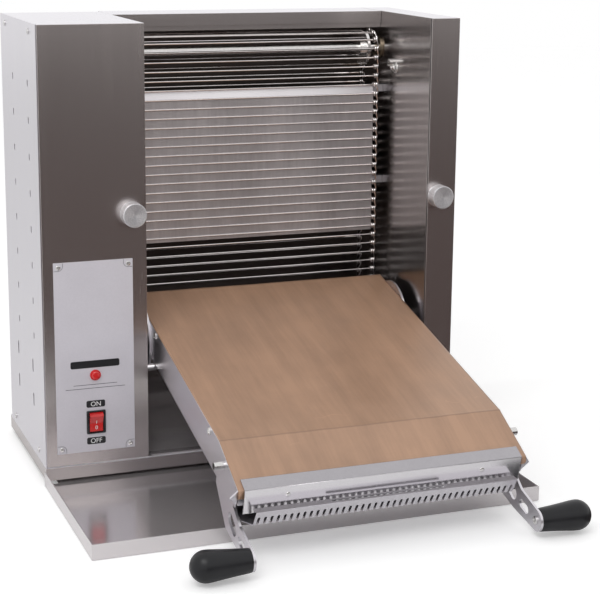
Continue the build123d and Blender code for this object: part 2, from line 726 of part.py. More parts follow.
def lamp_lens():
    face = -CONTROL_SHEET
    front = face - LAMP_BEZEL - LAMP_LENS_DEPTH
    lens = bar_y(CONTROL_MIDDLE, (front, face - LAMP_FLOOR), LAMP_CENTRE_Z, LAMP_LENS_RADIUS)
    return fillet(lens.faces().sort_by(Axis.Y)[0].edges(), LAMP_LENS_DEPTH * 0.8)


# ---- Adjusters of the pressure plate ------------------------------------------------
def knob(side):
    x = KNOB_X[0] if side < 0 else KNOB_X[1]
    turned = bar_y(x, (-LOOSE - KNOB_LENGTH, -LOOSE), KNOB_Z, KNOB_RADIUS)
    turned = chamfer(turned.faces().sort_by(Axis.Y)[0].edges(), KNOB_CHAMFER)
    bore = (-LOOSE - KNOB_BORE_DEPTH, 0)
    return turned - bar_y(x, bore, KNOB_Z, SPINDLE_RADIUS + SEAT)


def spindle(side):
    x = KNOB_X[0] if side < 0 else KNOB_X[1]
    y = (-LOOSE - KNOB_BORE_DEPTH, SUPPORT_Y + SUPPORT_SHEET + SPINDLE_OVERHANG)
    return bar_y(x, y, KNOB_Z, SPINDLE_RADIUS)


def spindle_bushes():
    bushes = []
    for x in KNOB_X:
        bush = bar_y(x, (0, BUSH_LENGTH), KNOB_Z, BUSH_RADIUS)
        flange = (CASE_SHEET, CASE_SHEET + BUSH_FLANGE)
        bush += bar_y(x, flange, KNOB_Z, BUSH_FLANGE_RADIUS)
        bushes.append(bush - bar_y(x, (-1, BUSH_LENGTH + 1), KNOB_Z, SPINDLE_RADIUS + RUNNING))
    return group(bushes)


def spindle_supports():
    supports = []
    z = (KNOB_Z - SUPPORT_HEIGHT / 2, KNOB_Z + SUPPORT_HEIGHT / 2)
    y = (SUPPORT_Y, SUPPORT_Y + SUPPORT_SHEET)
    foot_y = (SUPPORT_Y + SUPPORT_SHEET, SUPPORT_Y + SUPPORT_SHEET + FLANGE)
    for side, x in zip(SIDES, KNOB_X):
        wall = CABINET_WALL[0] if side < 0 else COLUMN_WALL[1]
        reach = sorted((wall, wall + side * SUPPORT_REACH))
        foot = sorted((wall, wall + side * SUPPORT_SHEET))
        plate = slab(reach, y, z) + slab(foot, foot_y, z)
        supports.append(plate - bar_y(x, (y[0] - 1, y[1] + 1), KNOB_Z, SPINDLE_RADIUS + RUNNING))
    return group(supports)


def plate_ends():
    return (BELT_ENDS[0] + PLATE_INSET, BELT_ENDS[1] - PLATE_INSET)


def backing_plate():
    top = PLATE_FLAT_TOP + PLATE_LEAD_IN
    section = [
        (PLATE_FRONT, PLATE_BOTTOM),
        (PLATE_FRONT, PLATE_FLAT_TOP),
        (PLATE_FRONT + PLATE_LEAN, top),
        (PLATE_BACK + PLATE_LEAN, top),
        (PLATE_BACK, PLATE_FLAT_TOP),
        (PLATE_BACK, PLATE_BOTTOM),
    ]
    return prism_x(section, plate_ends())


def plate_arms():
    """On each side a threaded arm on the spindle and a plain guide above it."""
    arms = []
    for side, end, x in zip(SIDES, plate_ends(), KNOB_X):
        lap = end - side * ARM_LAP
        arm_z = (KNOB_Z - ARM_HEIGHT / 2, KNOB_Z + ARM_HEIGHT / 2)
        arm_y = (PLATE_BACK, PLATE_BACK + ARM_THICKNESS)
        arm = slab(sorted((lap, x)), arm_y, arm_z)
        nut_y = (PLATE_BACK, PLATE_BACK + NUT_DEPTH)
        half = NUT_WIDTH / 2
        arm += slab((x - half, x + half), nut_y, (KNOB_Z - half, KNOB_Z + half))
        bore_y = (PLATE_BACK - 1, PLATE_BACK + NUT_DEPTH + 1)
        arms.append(arm - bar_y(x, bore_y, KNOB_Z, SPINDLE_RADIUS + RUNNING))
        wall = CABINET_WALL[0] if side < 0 else COLUMN_WALL[1]
        guide_z = (GUIDE_Z - ARM_HEIGHT / 2, GUIDE_Z + ARM_HEIGHT / 2)
        guide_y = (GUIDE_FRONT, GUIDE_FRONT + ARM_THICKNESS)
        arms.append(slab(sorted((lap, wall + side * GUIDE_OVERHANG)), guide_y, guide_z))
    return group(arms)


# ---- Belt and shafts ----------------------------------------------------------------
def belt_rod(y, z, next_y=None, next_z=None):
    """One cross rod, with an end hook on each side that reaches the next rod."""
    rod = bar_x(BELT_ENDS, y, z, ROD_RADIUS)
    if next_y is None:
        return rod
    direction = (0, next_y - y, next_z - z)
    length = math.hypot(next_y - y, next_z - z) - ROD_RADIUS - APART
    for end, inward in zip(BELT_ENDS, (1, -1)):
        x = end + inward * HOOK_INSET
        rod += round_bar((x, y, z), direction, HOOK_RADIUS, length)
    return rod


def belt_run(y):
    """One straight run of the belt, from the drive shaft up to the top shaft."""
    rods = []
    for index in range(BELT_PITCHES + 1):
        z = DRIVE_SHAFT_Z + index * ROD_PITCH
        if index < BELT_PITCHES:
            rods.append(belt_rod(y, z, y, z + ROD_PITCH))
        else:
            rods.append(belt_rod(y, z))
    return group(rods)


def belt_wrap(shaft_z, half_turn):
    """The rods round one shaft; half_turn is 1 over the top and -1 under the bottom."""
    step = 2 * math.pi / SPROCKET_TEETH
    places = []
    for index in range(1, SPROCKET_TEETH // 2):
        angle = index * step
        y = SHAFT_Y - PITCH_RADIUS * math.cos(angle)
        places.append((y, shaft_z + half_turn * PITCH_RADIUS * math.sin(angle)))
    rods = [belt_rod(*here, *there) for here, there in zip(places, places[1:])]
    rods.append(belt_rod(*places[-1]))
    return group(rods)


def sprocket_x():
    return (BELT_ENDS[0] + SPROCKET_INSET, BELT_ENDS[1] - SPROCKET_INSET)


def sprockets(shaft_z):
    """Two toothed wheels with hubs; the gaps between the teeth hold the belt's rods."""
    wheels = []
    for x in sprocket_x():
        half = SPROCKET_THICKNESS / 2
        wheel = bar_x((x - half, x + half), SHAFT_Y, shaft_z, PITCH_RADIUS + SPROCKET_TIP)
        gaps = []
        for index in range(SPROCKET_TEETH):
            angle = 2 * math.pi * index / SPROCKET_TEETH
            y = SHAFT_Y + (PITCH_RADIUS + TOOTH_GAP_OFFSET) * math.cos(angle)
            z = shaft_z + (PITCH_RADIUS + TOOTH_GAP_OFFSET) * math.sin(angle)
            gaps.append(bar_x((x - half - 1, x + half + 1), y, z, TOOTH_GAP_RADIUS))
        wheel -= gaps
        wheel += bar_x((x - HUB_LENGTH / 2, x + HUB_LENGTH / 2), SHAFT_Y, shaft_z, HUB_RADIUS)
        bore = (x - HUB_LENGTH, x + HUB_LENGTH)
        wheels.append(wheel - bar_x(bore, SHAFT_Y, shaft_z, SHAFT_RADIUS + SEAT))
    return group(wheels)


def gearbox_face():
    return WELL_LEFT - GEARBOX_GAP


def top_shaft():
    reach = BEARING_LENGTH + SHAFT_OVERHANG
    x = (WELL_LEFT - reach, WELL_RIGHT + reach)
    return bar_x(x, SHAFT_Y, TOP_SHAFT_Z, SHAFT_RADIUS)


def drive_shaft():
    left = gearbox_face() - GEARBOX_LENGTH - SHAFT_OVERHANG
    right = WELL_RIGHT + BEARING_LENGTH + SHAFT_OVERHANG
    return bar_x((left, right), SHAFT_Y, DRIVE_SHAFT_Z, SHAFT_RADIUS)


def shaft_bearings():
    bearings = []
    for z in (DRIVE_SHAFT_Z, TOP_SHAFT_Z):
        for side, wall in zip(SIDES, (WELL_LEFT, WELL_RIGHT)):
            flange = sorted((wall, wall - side * BEARING_FLANGE))
            barrel = sorted((wall, wall + side * BEARING_LENGTH))
            bearing = bar_x(flange, SHAFT_Y, z, BEARING_FLANGE_RADIUS)
            bearing += bar_x(barrel, SHAFT_Y, z, BEARING_RADIUS)
            bore = (wall - 2 * BEARING_LENGTH, wall + 2 * BEARING_LENGTH)
            bearings.append(bearing - bar_x(bore, SHAFT_Y, z, SHAFT_RADIUS + RUNNING))
    return group(bearings)


# ---- Drive and wiring inside the cabinet --------------------------------------------
def gearmotor():
    face = gearbox_face()
    x = (face - GEARBOX_LENGTH, face)
    half = GEARBOX_SIDE / 2
    z = (DRIVE_SHAFT_Z - half, DRIVE_SHAFT_Z + half)
    gearbox = slab(x, (SHAFT_Y - half, SHAFT_Y + half), z)
    gearbox = fillet(gearbox.edges().filter_by(Axis.X), GEARBOX_CORNER)
    gearbox -= bar_x((x[0] - 1, x[1] + 1), SHAFT_Y, DRIVE_SHAFT_Z, SHAFT_RADIUS + RUNNING)
    motor_x = face - GEARBOX_LENGTH / 2
    up = (0, 0, 1)
    neck = round_bar((motor_x, SHAFT_Y, z[1]), up, MOTOR_NECK_RADIUS, MOTOR_NECK)
    motor = round_bar((motor_x, SHAFT_Y, z[1] + MOTOR_NECK), up, MOTOR_RADIUS, MOTOR_LENGTH)
    return gearbox + neck + motor


def motor_bracket():
    wall = CABINET_WALL[0]
    half = BRACKET_SIDE / 2
    plate = slab(
        (wall - BRACKET_SHEET, wall),
        (SHAFT_Y - half, SHAFT_Y + half),
        (DRIVE_SHAFT_Z - half, DRIVE_SHAFT_Z + half),
    )
    plate -= bar_x((wall - 10, wall + 1), SHAFT_Y, DRIVE_SHAFT_Z, BEARING_RADIUS + LOOSE)
    spread = GEARBOX_SIDE / 2 - BRACKET_POST_INSET
    for y in (SHAFT_Y - spread, SHAFT_Y + spread):
        for z in (DRIVE_SHAFT_Z - spread, DRIVE_SHAFT_Z + spread):
            plate += bar_x((gearbox_face(), wall - BRACKET_SHEET), y, z, BRACKET_POST_RADIUS)
    return plate


def thermostat():
    wall = CABINET_WALL[0]
    width, depth, height = THERMOSTAT_SIZE
    body = slab(
        (wall - width, wall),
        (THERMOSTAT_Y, THERMOSTAT_Y + depth),
        (THERMOSTAT_Z, THERMOSTAT_Z + height),
    )
    return fillet(body.edges().filter_by(Axis.X), THERMOSTAT_CORNER)


def cable_gland():
    """A gland in the cabinet's back, with nothing in it."""
    back = CABINET_DEPTH
    gland = bar_y(CONTROL_MIDDLE, (back, back + GLAND_PROUD), GLAND_Z, GLAND_RADIUS)
    gland = chamfer(gland.faces().sort_by(Axis.Y)[-1].edges(), GLAND_CHAMFER)
    inside = (back - CASE_SHEET - GLAND_INSIDE, back)
    gland += bar_y(CONTROL_MIDDLE, inside, GLAND_Z, GLAND_THREAD_RADIUS)
    nut = (back - CASE_SHEET - GLAND_NUT, back - CASE_SHEET)
    gland += bar_y(CONTROL_MIDDLE, nut, GLAND_Z, GLAND_RADIUS)
    bore = (inside[0] - 1, back + GLAND_PROUD + 1)
    return gland - bar_y(CONTROL_MIDDLE, bore, GLAND_Z, GLAND_BORE)


# ---- Hinge and stops on the well walls ----------------------------------------------
def disc_outer():
    """The distance from the middle of the well to a hinge disc's outer face."""
    return PLATEN_WIDTH / 2 + DISC_THICKNESS


def hinge_pins():
    pins = []
    for side, wall, sheet in zip(SIDES, (WELL_LEFT, WELL_RIGHT), (CASE_SHEET, LINER_SHEET)):
        tip = WELL_MIDDLE + side * (PLATEN_WIDTH / 2 - DOOR_SHEET - APART)
        back = wall + side * (sheet + PIN_NUT_LENGTH)
        collar_end = WELL_MIDDLE + side * (disc_outer() + APART)
        pin = bar_x(sorted((tip, back)), PIVOT_Y, PIVOT_Z, PIN_RADIUS)
        pin += bar_x(sorted((collar_end, wall)), PIVOT_Y, PIVOT_Z, PIN_COLLAR_RADIUS)
        nut_plane = Plane.YZ.offset(wall + side * sheet)
        nut = nut_plane * Pos(PIVOT_Y, PIVOT_Z) * RegularPolygon(PIN_NUT_RADIUS, 6)
        pins.append(pin + extrude(nut, PIN_NUT_LENGTH, dir=outward(side)))
    return group(pins)


def closed_stop_place():
    """The (y, z) place where a guide tube of the shut door almost meets its stop."""
    tube_y, tube_z = closed_point(GUIDE_ALONG, GUIDE_BELOW)
    distance = GUIDE_RADIUS + STOP_RADIUS + LOOSE
    lean = math.radians(CLOSED_STOP_LEAN)
    return (tube_y + distance * math.cos(lean), tube_z - distance * math.sin(lean))


def stop_bolts():
    """A stop for the shut door and a rest for the open door, on each well wall."""
    bolts = []
    shut = closed_stop_place()
    rest = open_point(REST_STOP_ALONG, SIDE_DEPTH + STOP_RADIUS + APART)
    for side, wall in zip(SIDES, (WELL_LEFT, WELL_RIGHT)):
        for (y, z), length in ((shut, CLOSED_STOP_LENGTH), (rest, REST_STOP_LENGTH)):
            x = sorted((wall, wall - side * length))
            bolts.append(bar_x(x, y, z, STOP_RADIUS))
    return group(bolts)


# ---- Door ---------------------------------------------------------------------------
def platen():
    top = surface_path(SHEET_SKIN, FLARE_LENGTH)
    bottom = surface_path(UNDERSIDE, FLARE_LENGTH)
    x = (DOOR_ENDS[0] + DOOR_SHEET, DOOR_ENDS[1] - DOOR_SHEET)
    body = door_prism(top + bottom[::-1], x)
    for side, end in zip(SIDES, x):
        for along in SIDE_SCREWS_ALONG:
            bore = sorted((end + side, end - side * DOOR_SCREW_LENGTH))
            body -= door_bar(bore, along, SIDE_SCREW_BELOW, DOOR_SCREW_RADIUS + RUNNING)
    return hang(body)


def ptfe_sheet():
    top = surface_path(0, FLARE_LENGTH + SHEET_SKIN)
    bottom = surface_path(SHEET_SKIN, FLARE_LENGTH)
    wrap = [
        flare_point(FLARE_LENGTH + SHEET_SKIN, SHEET_WRAP),
        flare_point(FLARE_LENGTH, SHEET_WRAP),
    ]
    return hang(door_prism(top + wrap + bottom[::-1], DOOR_ENDS))


def sheet_clip():
    inner = flare_point(FLARE_LENGTH + SHEET_SKIN, 0)[0] + LOOSE
    outer = inner + DOOR_SHEET

    def flange_depth(along, height):
        return (along - PLATEN_FLAT) * math.tan(FLARE) - height / math.cos(FLARE)

    section = [
        flare_point(FLARE_LENGTH - CLIP_FLANGE, -DOOR_SHEET),
        (outer, flange_depth(outer, DOOR_SHEET)),
        (outer, CLIP_DEPTH),
        (inner, CLIP_DEPTH),
        (inner, flange_depth(inner, 0)),
        flare_point(FLARE_LENGTH - CLIP_FLANGE, 0),
    ]
    return hang(door_prism(section, middle_limits(CLIP_WIDTH)))


def middle_limits(width):
    """Limits in X of a width centred on the well."""
    return (WELL_MIDDLE - width / 2, WELL_MIDDLE + width / 2)


def door_side(side):
    """A side plate whose free end stands square to the flare, with a pointed guide tab."""
    end_depth = (SIDE_DEPTH - FLARE_LENGTH * math.sin(FLARE)) / math.cos(FLARE)
    corner = flare_point(FLARE_LENGTH, end_depth)
    outline = surface_path(SHEET_SKIN, FLARE_LENGTH) + [corner, (0, SIDE_DEPTH)]
    half = PLATEN_WIDTH / 2
    x = side_limits(side, half - DOOR_SHEET, half)
    plate = door_prism(outline, x)
    face = WELL_MIDDLE + side * half
    tip = WELL_MIDDLE + side * (half + TAB_REACH)
    tab_points = [
        (reach, *door_section(*flare_point(FLARE_LENGTH, depth)))
        for reach, depth in ((face, SHEET_SKIN), (tip, TAB_HEIGHT / 2), (face, TAB_HEIGHT))
    ]
    tab = make_face(Polyline(*tab_points, close=True))
    plate += extrude(tab, TAB_THICKNESS, dir=(0, math.cos(FLARE), math.sin(FLARE)))
    cut_x = (x[0] - 1, x[1] + 1)
    for along in SIDE_SCREWS_ALONG:
        plate -= door_bar(cut_x, along, SIDE_SCREW_BELOW, DOOR_SCREW_RADIUS + RUNNING)
    plate -= door_bar(cut_x, PIVOT_FROM_REAR, PIVOT_DROP, PIN_RADIUS + LOOSE)
    return hang(plate)


def pan_half_width():
    return PLATEN_WIDTH / 2 - DOOR_SHEET - LEVER_SHEET


def pan_front():
    return flare_point(FLARE_LENGTH, UNDERSIDE)[0] - PAN_FRONT_GAP


def door_pan():
    """The pan that closes the door's underside and carries the levers."""
    half = pan_half_width()
    front = pan_front()
    flare_run = (front - PLATEN_FLAT + UNDERSIDE * math.sin(FLARE)) / math.cos(FLARE)
    rim = surface_path(UNDERSIDE, flare_run)
    rim[0] = (PAN_REAR, UNDERSIDE)
    outline = rim + [(front, SIDE_DEPTH), (PAN_REAR, SIDE_DEPTH)]
    block = door_prism(outline, middle_limits(2 * half))
    hollow_points = [
        (PAN_REAR + DOOR_SHEET, UNDERSIDE - 1),
        (rim[1][0], UNDERSIDE - 1),
        (front - DOOR_SHEET, rim[2][1] - 2),
        (front - DOOR_SHEET, PAN_FLOOR),
        (PAN_REAR + DOOR_SHEET, PAN_FLOOR),
    ]
    pan = block - door_prism(hollow_points, middle_limits(2 * (half - DOOR_SHEET)))
    pan -= door_bar(middle_limits(PLATEN_WIDTH), PIVOT_FROM_REAR, PIVOT_DROP, PIN_RADIUS + LOOSE)
    return hang(pan)


def platen_heater():
    """A tubular element in straight passes joined by half turns, against the platen."""
    x = middle_limits(PLATEN_WIDTH - 2 * ELEMENT_SIDE_GAP)
    pitch = (PLATEN_FLAT - ELEMENT_REAR_GAP - ELEMENT_FRONT_GAP) / (ELEMENT_PASSES - 1)
    depth = UNDERSIDE + ELEMENT_RADIUS
    points = []
    for index in range(ELEMENT_PASSES):
        ends = x if index % 2 == 0 else x[::-1]
        y, z = door_section(ELEMENT_REAR_GAP + index * pitch, depth)
        points += [(ends[0], y, z), (ends[1], y, z)]
    path = FilletPolyline(*points, radius=pitch / 2 - 1)
    start = Plane(points[0], z_dir=(1, 0, 0))
    return hang(sweep(start * Circle(ELEMENT_RADIUS), path=path))


def insulation_blanket():
    half = pan_half_width() - DOOR_SHEET - LOOSE
    rear = PAN_REAR + BLANKET_REAR_GAP
    points = [
        (rear, PAN_FLOOR - BLANKET_THICKNESS),
        (PLATEN_FLAT, PAN_FLOOR - BLANKET_THICKNESS),
        (PLATEN_FLAT, PAN_FLOOR),
        (rear, PAN_FLOOR),
    ]
    blanket = door_prism(points, middle_limits(2 * half))
    pins = door_bar(middle_limits(PLATEN_WIDTH), PIVOT_FROM_REAR, PIVOT_DROP, PIN_RADIUS + LOOSE)
    return hang(blanket - pins)


def door_cover():
    """The outer heat shield: a floor with clipped corners and a slotted, upturned end."""
    front = COVER_FRONT
    y_rear, z_low = door_section(COVER_REAR, COVER_DEPTH)
    y_front, _ = door_section(front, COVER_DEPTH)
    left, right = middle_limits(COVER_WIDTH)
    corners = [
        (left, y_rear, z_low),
        (left, y_front + COVER_CHAMFER, z_low),
        (left + COVER_CHAMFER, y_front, z_low),
        (right - COVER_CHAMFER, y_front, z_low),
        (right, y_front + COVER_CHAMFER, z_low),
        (right, y_rear, z_low),
    ]
    cover = extrude(make_face(Polyline(*corners, close=True)), COVER_SHEET, dir=(0, 0, 1))
    top = (front + STRIP_LEAN, COVER_DEPTH - STRIP_RISE)
    tail = (top[0] - STRIP_RETURN, top[1] + STRIP_FALL)
    rise = math.hypot(STRIP_LEAN, STRIP_RISE)
    inward = COVER_SHEET * rise / STRIP_RISE
    section = [
        (front, COVER_DEPTH),
        top,
        tail,
        (tail[0], tail[1] + COVER_SHEET),
        (top[0] - inward, top[1] + COVER_SHEET),
        (front - inward, COVER_DEPTH),
    ]
    strip_x = (left + COVER_CHAMFER, right - COVER_CHAMFER)
    cover += door_prism(section, strip_x)
    cover -= vent_cutters(front)
    slot = middle_limits(LONG_SLOT_WIDTH)
    slot_from = tail[0] + LONG_SLOT_EDGE
    cutter = [
        (slot_from, tail[1] - 4),
        (slot_from + LONG_SLOT_LENGTH, tail[1] - 4),
        (slot_from + LONG_SLOT_LENGTH, tail[1] + 4),
        (slot_from, tail[1] + 4),
    ]
    return hang(cover - door_prism(cutter, slot))


def vent_cutters(front):
    """Cutters for the row of round-ended slots that run over the bend of the cover."""
    y, z = door_section(front + STRIP_LEAN + VENT_WRAP, COVER_DEPTH + VENT_WRAP)
    room = COVER_WIDTH - 2 * (COVER_CHAMFER + VENT_END_GAP)
    count = int(room / VENT_PITCH) + 1
    cutters = []
    for index in range(count):
        x = WELL_MIDDLE + (index - (count - 1) / 2) * VENT_PITCH
        plane = Plane((x, y, z + VENT_HEIGHT / 2), x_dir=(1, 0, 0), z_dir=(0, -1, 0))
        slot = plane * SlotOverall(VENT_HEIGHT, VENT_WIDTH, rotation=90)
        cutters.append(extrude(slot, STRIP_LEAN + 8, dir=(0, 1, 0)))
    return cutters


def cover_standoffs():
    posts = []
    half = COVER_WIDTH / 2 - STANDOFF_INSET
    first = COVER_REAR + STANDOFF_REAR_GAP
    last = COVER_FRONT - STANDOFF_FRONT_GAP
    for x in (WELL_MIDDLE - half, WELL_MIDDLE + half):
        for along in (first, (first + last) / 2, last):
            y, z = door_section(along, COVER_DEPTH - COVER_SHEET)
            length = COVER_DEPTH - COVER_SHEET - SIDE_DEPTH
            posts.append(round_bar((x, y, z), (0, 0, 1), STANDOFF_RADIUS, length))
    return hang(group(posts))


def hinge_discs():
    discs = []
    for side in SIDES:
        x = side_limits(side, PLATEN_WIDTH / 2, disc_outer())
        disc = door_bar(x, PIVOT_FROM_REAR, PIVOT_DROP, DISC_RADIUS)
        bore = (x[0] - 1, x[1] + 1)
        disc -= door_bar(bore, PIVOT_FROM_REAR, PIVOT_DROP, PIN_RADIUS + RUNNING)
        head = DOOR_SCREW_HEAD + LOOSE
        disc -= [door_bar(bore, along, SIDE_SCREW_BELOW, head) for along in SIDE_SCREWS_ALONG]
        discs.append(disc)
    return hang(group(discs))


def guide_tubes():
    tubes = []
    for side, wall in zip(SIDES, (WELL_LEFT, WELL_RIGHT)):
        x = sorted((WELL_MIDDLE + side * PLATEN_WIDTH / 2, wall - side * GUIDE_WALL_GAP))
        tube = door_bar(x, GUIDE_ALONG, GUIDE_BELOW, GUIDE_RADIUS)
        tubes.append(tube - door_bar((x[0] - 1, x[1] + 1), GUIDE_ALONG, GUIDE_BELOW, GUIDE_BORE))
    return hang(group(tubes))


def lever_limits(side):
    half = PLATEN_WIDTH / 2 - DOOR_SHEET
    return side_limits(side, half - LEVER_SHEET, half)


def lever(side):
    """A flat lever that starts inside the door's side and ends in a round eye."""
    def from_root(point):
        return (pan_front() + point[0], SIDE_DEPTH + point[1])

    def from_eye(point):
        return (GRIP_ALONG + point[0], GRIP_BELOW + point[1])

    outline = [from_root(point) for point in LEVER_ROOT_TOP]
    outline += [from_eye(LEVER_NECK), from_eye((0, -LEVER_END_RADIUS))]
    outline += [from_eye((0, LEVER_END_RADIUS)), from_eye(LEVER_HEEL)]
    outline += [from_root(point) for point in LEVER_ROOT_FOOT]
    x = lever_limits(side)
    plate = door_prism(outline, x)
    plate += door_bar(x, GRIP_ALONG, GRIP_BELOW, LEVER_END_RADIUS)
    cut = (x[0] - 1, x[1] + 1)
    plate -= door_bar(cut, GRIP_ALONG, GRIP_BELOW, DOOR_SCREW_RADIUS + RUNNING)
    for rear, front, radius in LEVER_HOLES:
        plate -= long_hole(from_eye(rear), from_eye(front), radius, cut)
    return hang(plate)


def long_hole(start, end, radius, x):
    """A cutter for a hole with round ends, between two (along, below) points."""
    run = math.hypot(end[0] - start[0], end[1] - start[1])
    across = (radius * (end[1] - start[1]) / run, radius * (end[0] - start[0]) / run)
    corners = [
        (start[0] + across[0], start[1] - across[1]),
        (end[0] + across[0], end[1] - across[1]),
        (end[0] - across[0], end[1] + across[1]),
        (start[0] - across[0], start[1] + across[1]),
    ]
    return door_prism(corners, x) + [door_bar(x, *point, radius) for point in (start, end)]


def grip(side):
    """A tapered grip with a half-ball end, on the outside of its lever."""
    root = WELL_MIDDLE + side * (PLATEN_WIDTH / 2 - DOOR_SHEET)
    y, z = door_section(GRIP_ALONG, GRIP_BELOW)
    place = Plane((root, y, z), z_dir=outward(side)).location
    taper = GRIP_LENGTH - GRIP_RADIUS
    body = Cone(GRIP_SMALL_RADIUS, GRIP_RADIUS, taper, align=FOOTED)
    body += Pos(0, 0, taper) * Sphere(GRIP_RADIUS)
    bore = Cylinder(DOOR_SCREW_RADIUS + SEAT, GRIP_BORE_DEPTH, align=FOOTED)
    return hang(place * (body - bore))


def door_screws():
    """Screws that hold the door's sides to the platen and the grips to the levers."""
    screws = []
    head = (DOOR_SCREW_HEAD, DOOR_SCREW_HEAD_HEIGHT)
    for side in SIDES:
        inward = (-side, 0, 0)
        for along in SIDE_SCREWS_ALONG:
            y, z = door_section(along, SIDE_SCREW_BELOW)
            seat = (WELL_MIDDLE + side * PLATEN_WIDTH / 2, y, z)
            screws.append(screw(seat, inward, DOOR_SCREW_RADIUS, DOOR_SCREW_LENGTH, *head))
        y, z = door_section(GRIP_ALONG, GRIP_BELOW)
        seat = (WELL_MIDDLE + side * (PLATEN_WIDTH / 2 - DOOR_SHEET - LEVER_SHEET), y, z)
        screws.append(screw(seat, outward(side), DOOR_SCREW_RADIUS, DOOR_SCREW_LENGTH, *head))
    return hang(group(screws))


# ---- Output -------------------------------------------------------------------------
def frame_shift(shapes):
    """The move that puts the origin at the middle of the bottom of the whole part."""
    box = Compound([solid for shape in shapes for solid in shape.solids()]).bounding_box()
    return Pos(-box.center().X, -box.center().Y, -box.min.Z)


def nodes():
    return {
        "base_pan": base_pan(),
        "base_deck": base_deck(),
        "rubber_feet": rubber_feet(),
        "cabinet_shell": cabinet_shell(),
        "cabinet_side_cover": cabinet_side_cover(),
        "cover_screws": cover_screws(),
        "column_shell": column_shell(),
        "column_liner": column_liner(),
        "rear_panel": rear_panel(),
        "top_cover": top_cover(),
        "exit_chute": exit_chute(),
        "landing_tray": landing_tray(),
        "control_plate": control_plate(),
        "plate_screws": plate_screws(),
        "switch_body": switch_body(),
        "switch_rocker": switch_rocker(),
        "lamp_body": lamp_body(),
        "lamp_lens": lamp_lens(),
        "knob_left": knob(-1),
        "knob_right": knob(1),
        "spindle_left": spindle(-1),
        "spindle_right": spindle(1),
        "spindle_bushes": spindle_bushes(),
        "spindle_supports": spindle_supports(),
        "backing_plate": backing_plate(),
        "plate_arms": plate_arms(),
        "belt_front_run": belt_run(BELT_FRONT),
        "belt_rear_run": belt_run(BELT_REAR),
        "belt_top_wrap": belt_wrap(TOP_SHAFT_Z, 1),
        "belt_bottom_wrap": belt_wrap(DRIVE_SHAFT_Z, -1),
        "top_shaft": top_shaft(),
        "drive_shaft": drive_shaft(),
        "top_sprockets": sprockets(TOP_SHAFT_Z),
        "drive_sprockets": sprockets(DRIVE_SHAFT_Z),
        "shaft_bearings": shaft_bearings(),
        "gearmotor": gearmotor(),
        "motor_bracket": motor_bracket(),
        "thermostat": thermostat(),
        "cable_gland": cable_gland(),
        "hinge_pins": hinge_pins(),
        "stop_bolts": stop_bolts(),
        "platen": platen(),
        "ptfe_sheet": ptfe_sheet(),
        "sheet_clip": sheet_clip(),
        "door_side_left": door_side(-1),
        "door_side_right": door_side(1),
        "door_pan": door_pan(),
        "platen_heater": platen_heater(),
        "insulation_blanket": insulation_blanket(),
        "door_cover": door_cover(),
        "cover_standoffs": cover_standoffs(),
        "hinge_discs": hinge_discs(),
        "guide_tubes": guide_tubes(),
        "lever_left": lever(-1),
        "lever_right": lever(1),
        "grip_left": grip(-1),
        "grip_right": grip(1),
        "door_screws": door_screws(),
    }


def main():
    os.makedirs("parts", exist_ok=True)
    shapes = nodes()
    shift = frame_shift(shapes.values())
    for name, shape in shapes.items():
        export_step(shift * shape, f"parts/{name}.step")


main()
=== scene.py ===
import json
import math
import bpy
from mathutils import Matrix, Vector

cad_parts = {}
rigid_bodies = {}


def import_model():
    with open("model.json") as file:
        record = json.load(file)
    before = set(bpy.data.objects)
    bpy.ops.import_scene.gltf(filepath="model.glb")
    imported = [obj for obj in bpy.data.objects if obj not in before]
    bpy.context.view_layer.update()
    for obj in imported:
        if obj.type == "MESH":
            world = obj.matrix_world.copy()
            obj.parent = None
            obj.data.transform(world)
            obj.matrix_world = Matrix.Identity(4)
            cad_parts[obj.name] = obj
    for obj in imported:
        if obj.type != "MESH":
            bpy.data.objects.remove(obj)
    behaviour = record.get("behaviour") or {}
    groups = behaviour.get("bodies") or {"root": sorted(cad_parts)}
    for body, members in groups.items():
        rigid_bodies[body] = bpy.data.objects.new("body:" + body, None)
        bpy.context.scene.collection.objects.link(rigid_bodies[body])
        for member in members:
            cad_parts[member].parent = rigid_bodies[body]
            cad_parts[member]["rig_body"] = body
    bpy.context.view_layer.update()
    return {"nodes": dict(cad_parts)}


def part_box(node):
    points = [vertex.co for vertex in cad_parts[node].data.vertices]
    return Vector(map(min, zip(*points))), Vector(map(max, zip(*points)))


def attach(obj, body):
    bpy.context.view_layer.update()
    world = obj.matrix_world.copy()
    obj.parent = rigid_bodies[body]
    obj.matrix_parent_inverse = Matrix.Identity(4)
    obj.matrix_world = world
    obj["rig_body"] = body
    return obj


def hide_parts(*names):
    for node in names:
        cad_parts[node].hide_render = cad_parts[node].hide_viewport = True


bl_info = {
    "name": "Belt Toaster Finishes",
    "version": (1, 0, 0),
    "blender": (4, 5, 0),
    "location": "View3D > Sidebar > Toaster",
    "description": "Dresses the wire belt toaster's frame with its finishes and fine pieces",
    "category": "Object",
}

import bmesh
import bpy
import numpy as np
from mathutils import Matrix, Vector
from mathutils.bvhtree import BVHTree

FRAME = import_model()
NODES = FRAME["nodes"]
MM = 0.001
TAU = 2 * math.pi

# ---- Plan: millimetres from the body's middle, the cabinet fronts and the table -----------
PAN_LOW, PAN_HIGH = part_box("base_pan")
ORIGIN = np.array([(PAN_LOW[0] + PAN_HIGH[0]) / 2, PAN_LOW[1], 0.0])


def plan(point):
    """A frame point in metres as plan millimetres."""
    return (np.asarray(point, float) - ORIGIN) / MM


def placed(points):
    """Plan millimetres as frame points in metres."""
    return np.asarray(points, float) * MM + ORIGIN


def limits(node):
    """The low and high corners of a node's box."""
    low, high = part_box(node)
    return plan(low), plan(high)


def middle_of(node):
    """The middle of a node's box."""
    low, high = limits(node)
    return (low + high) / 2


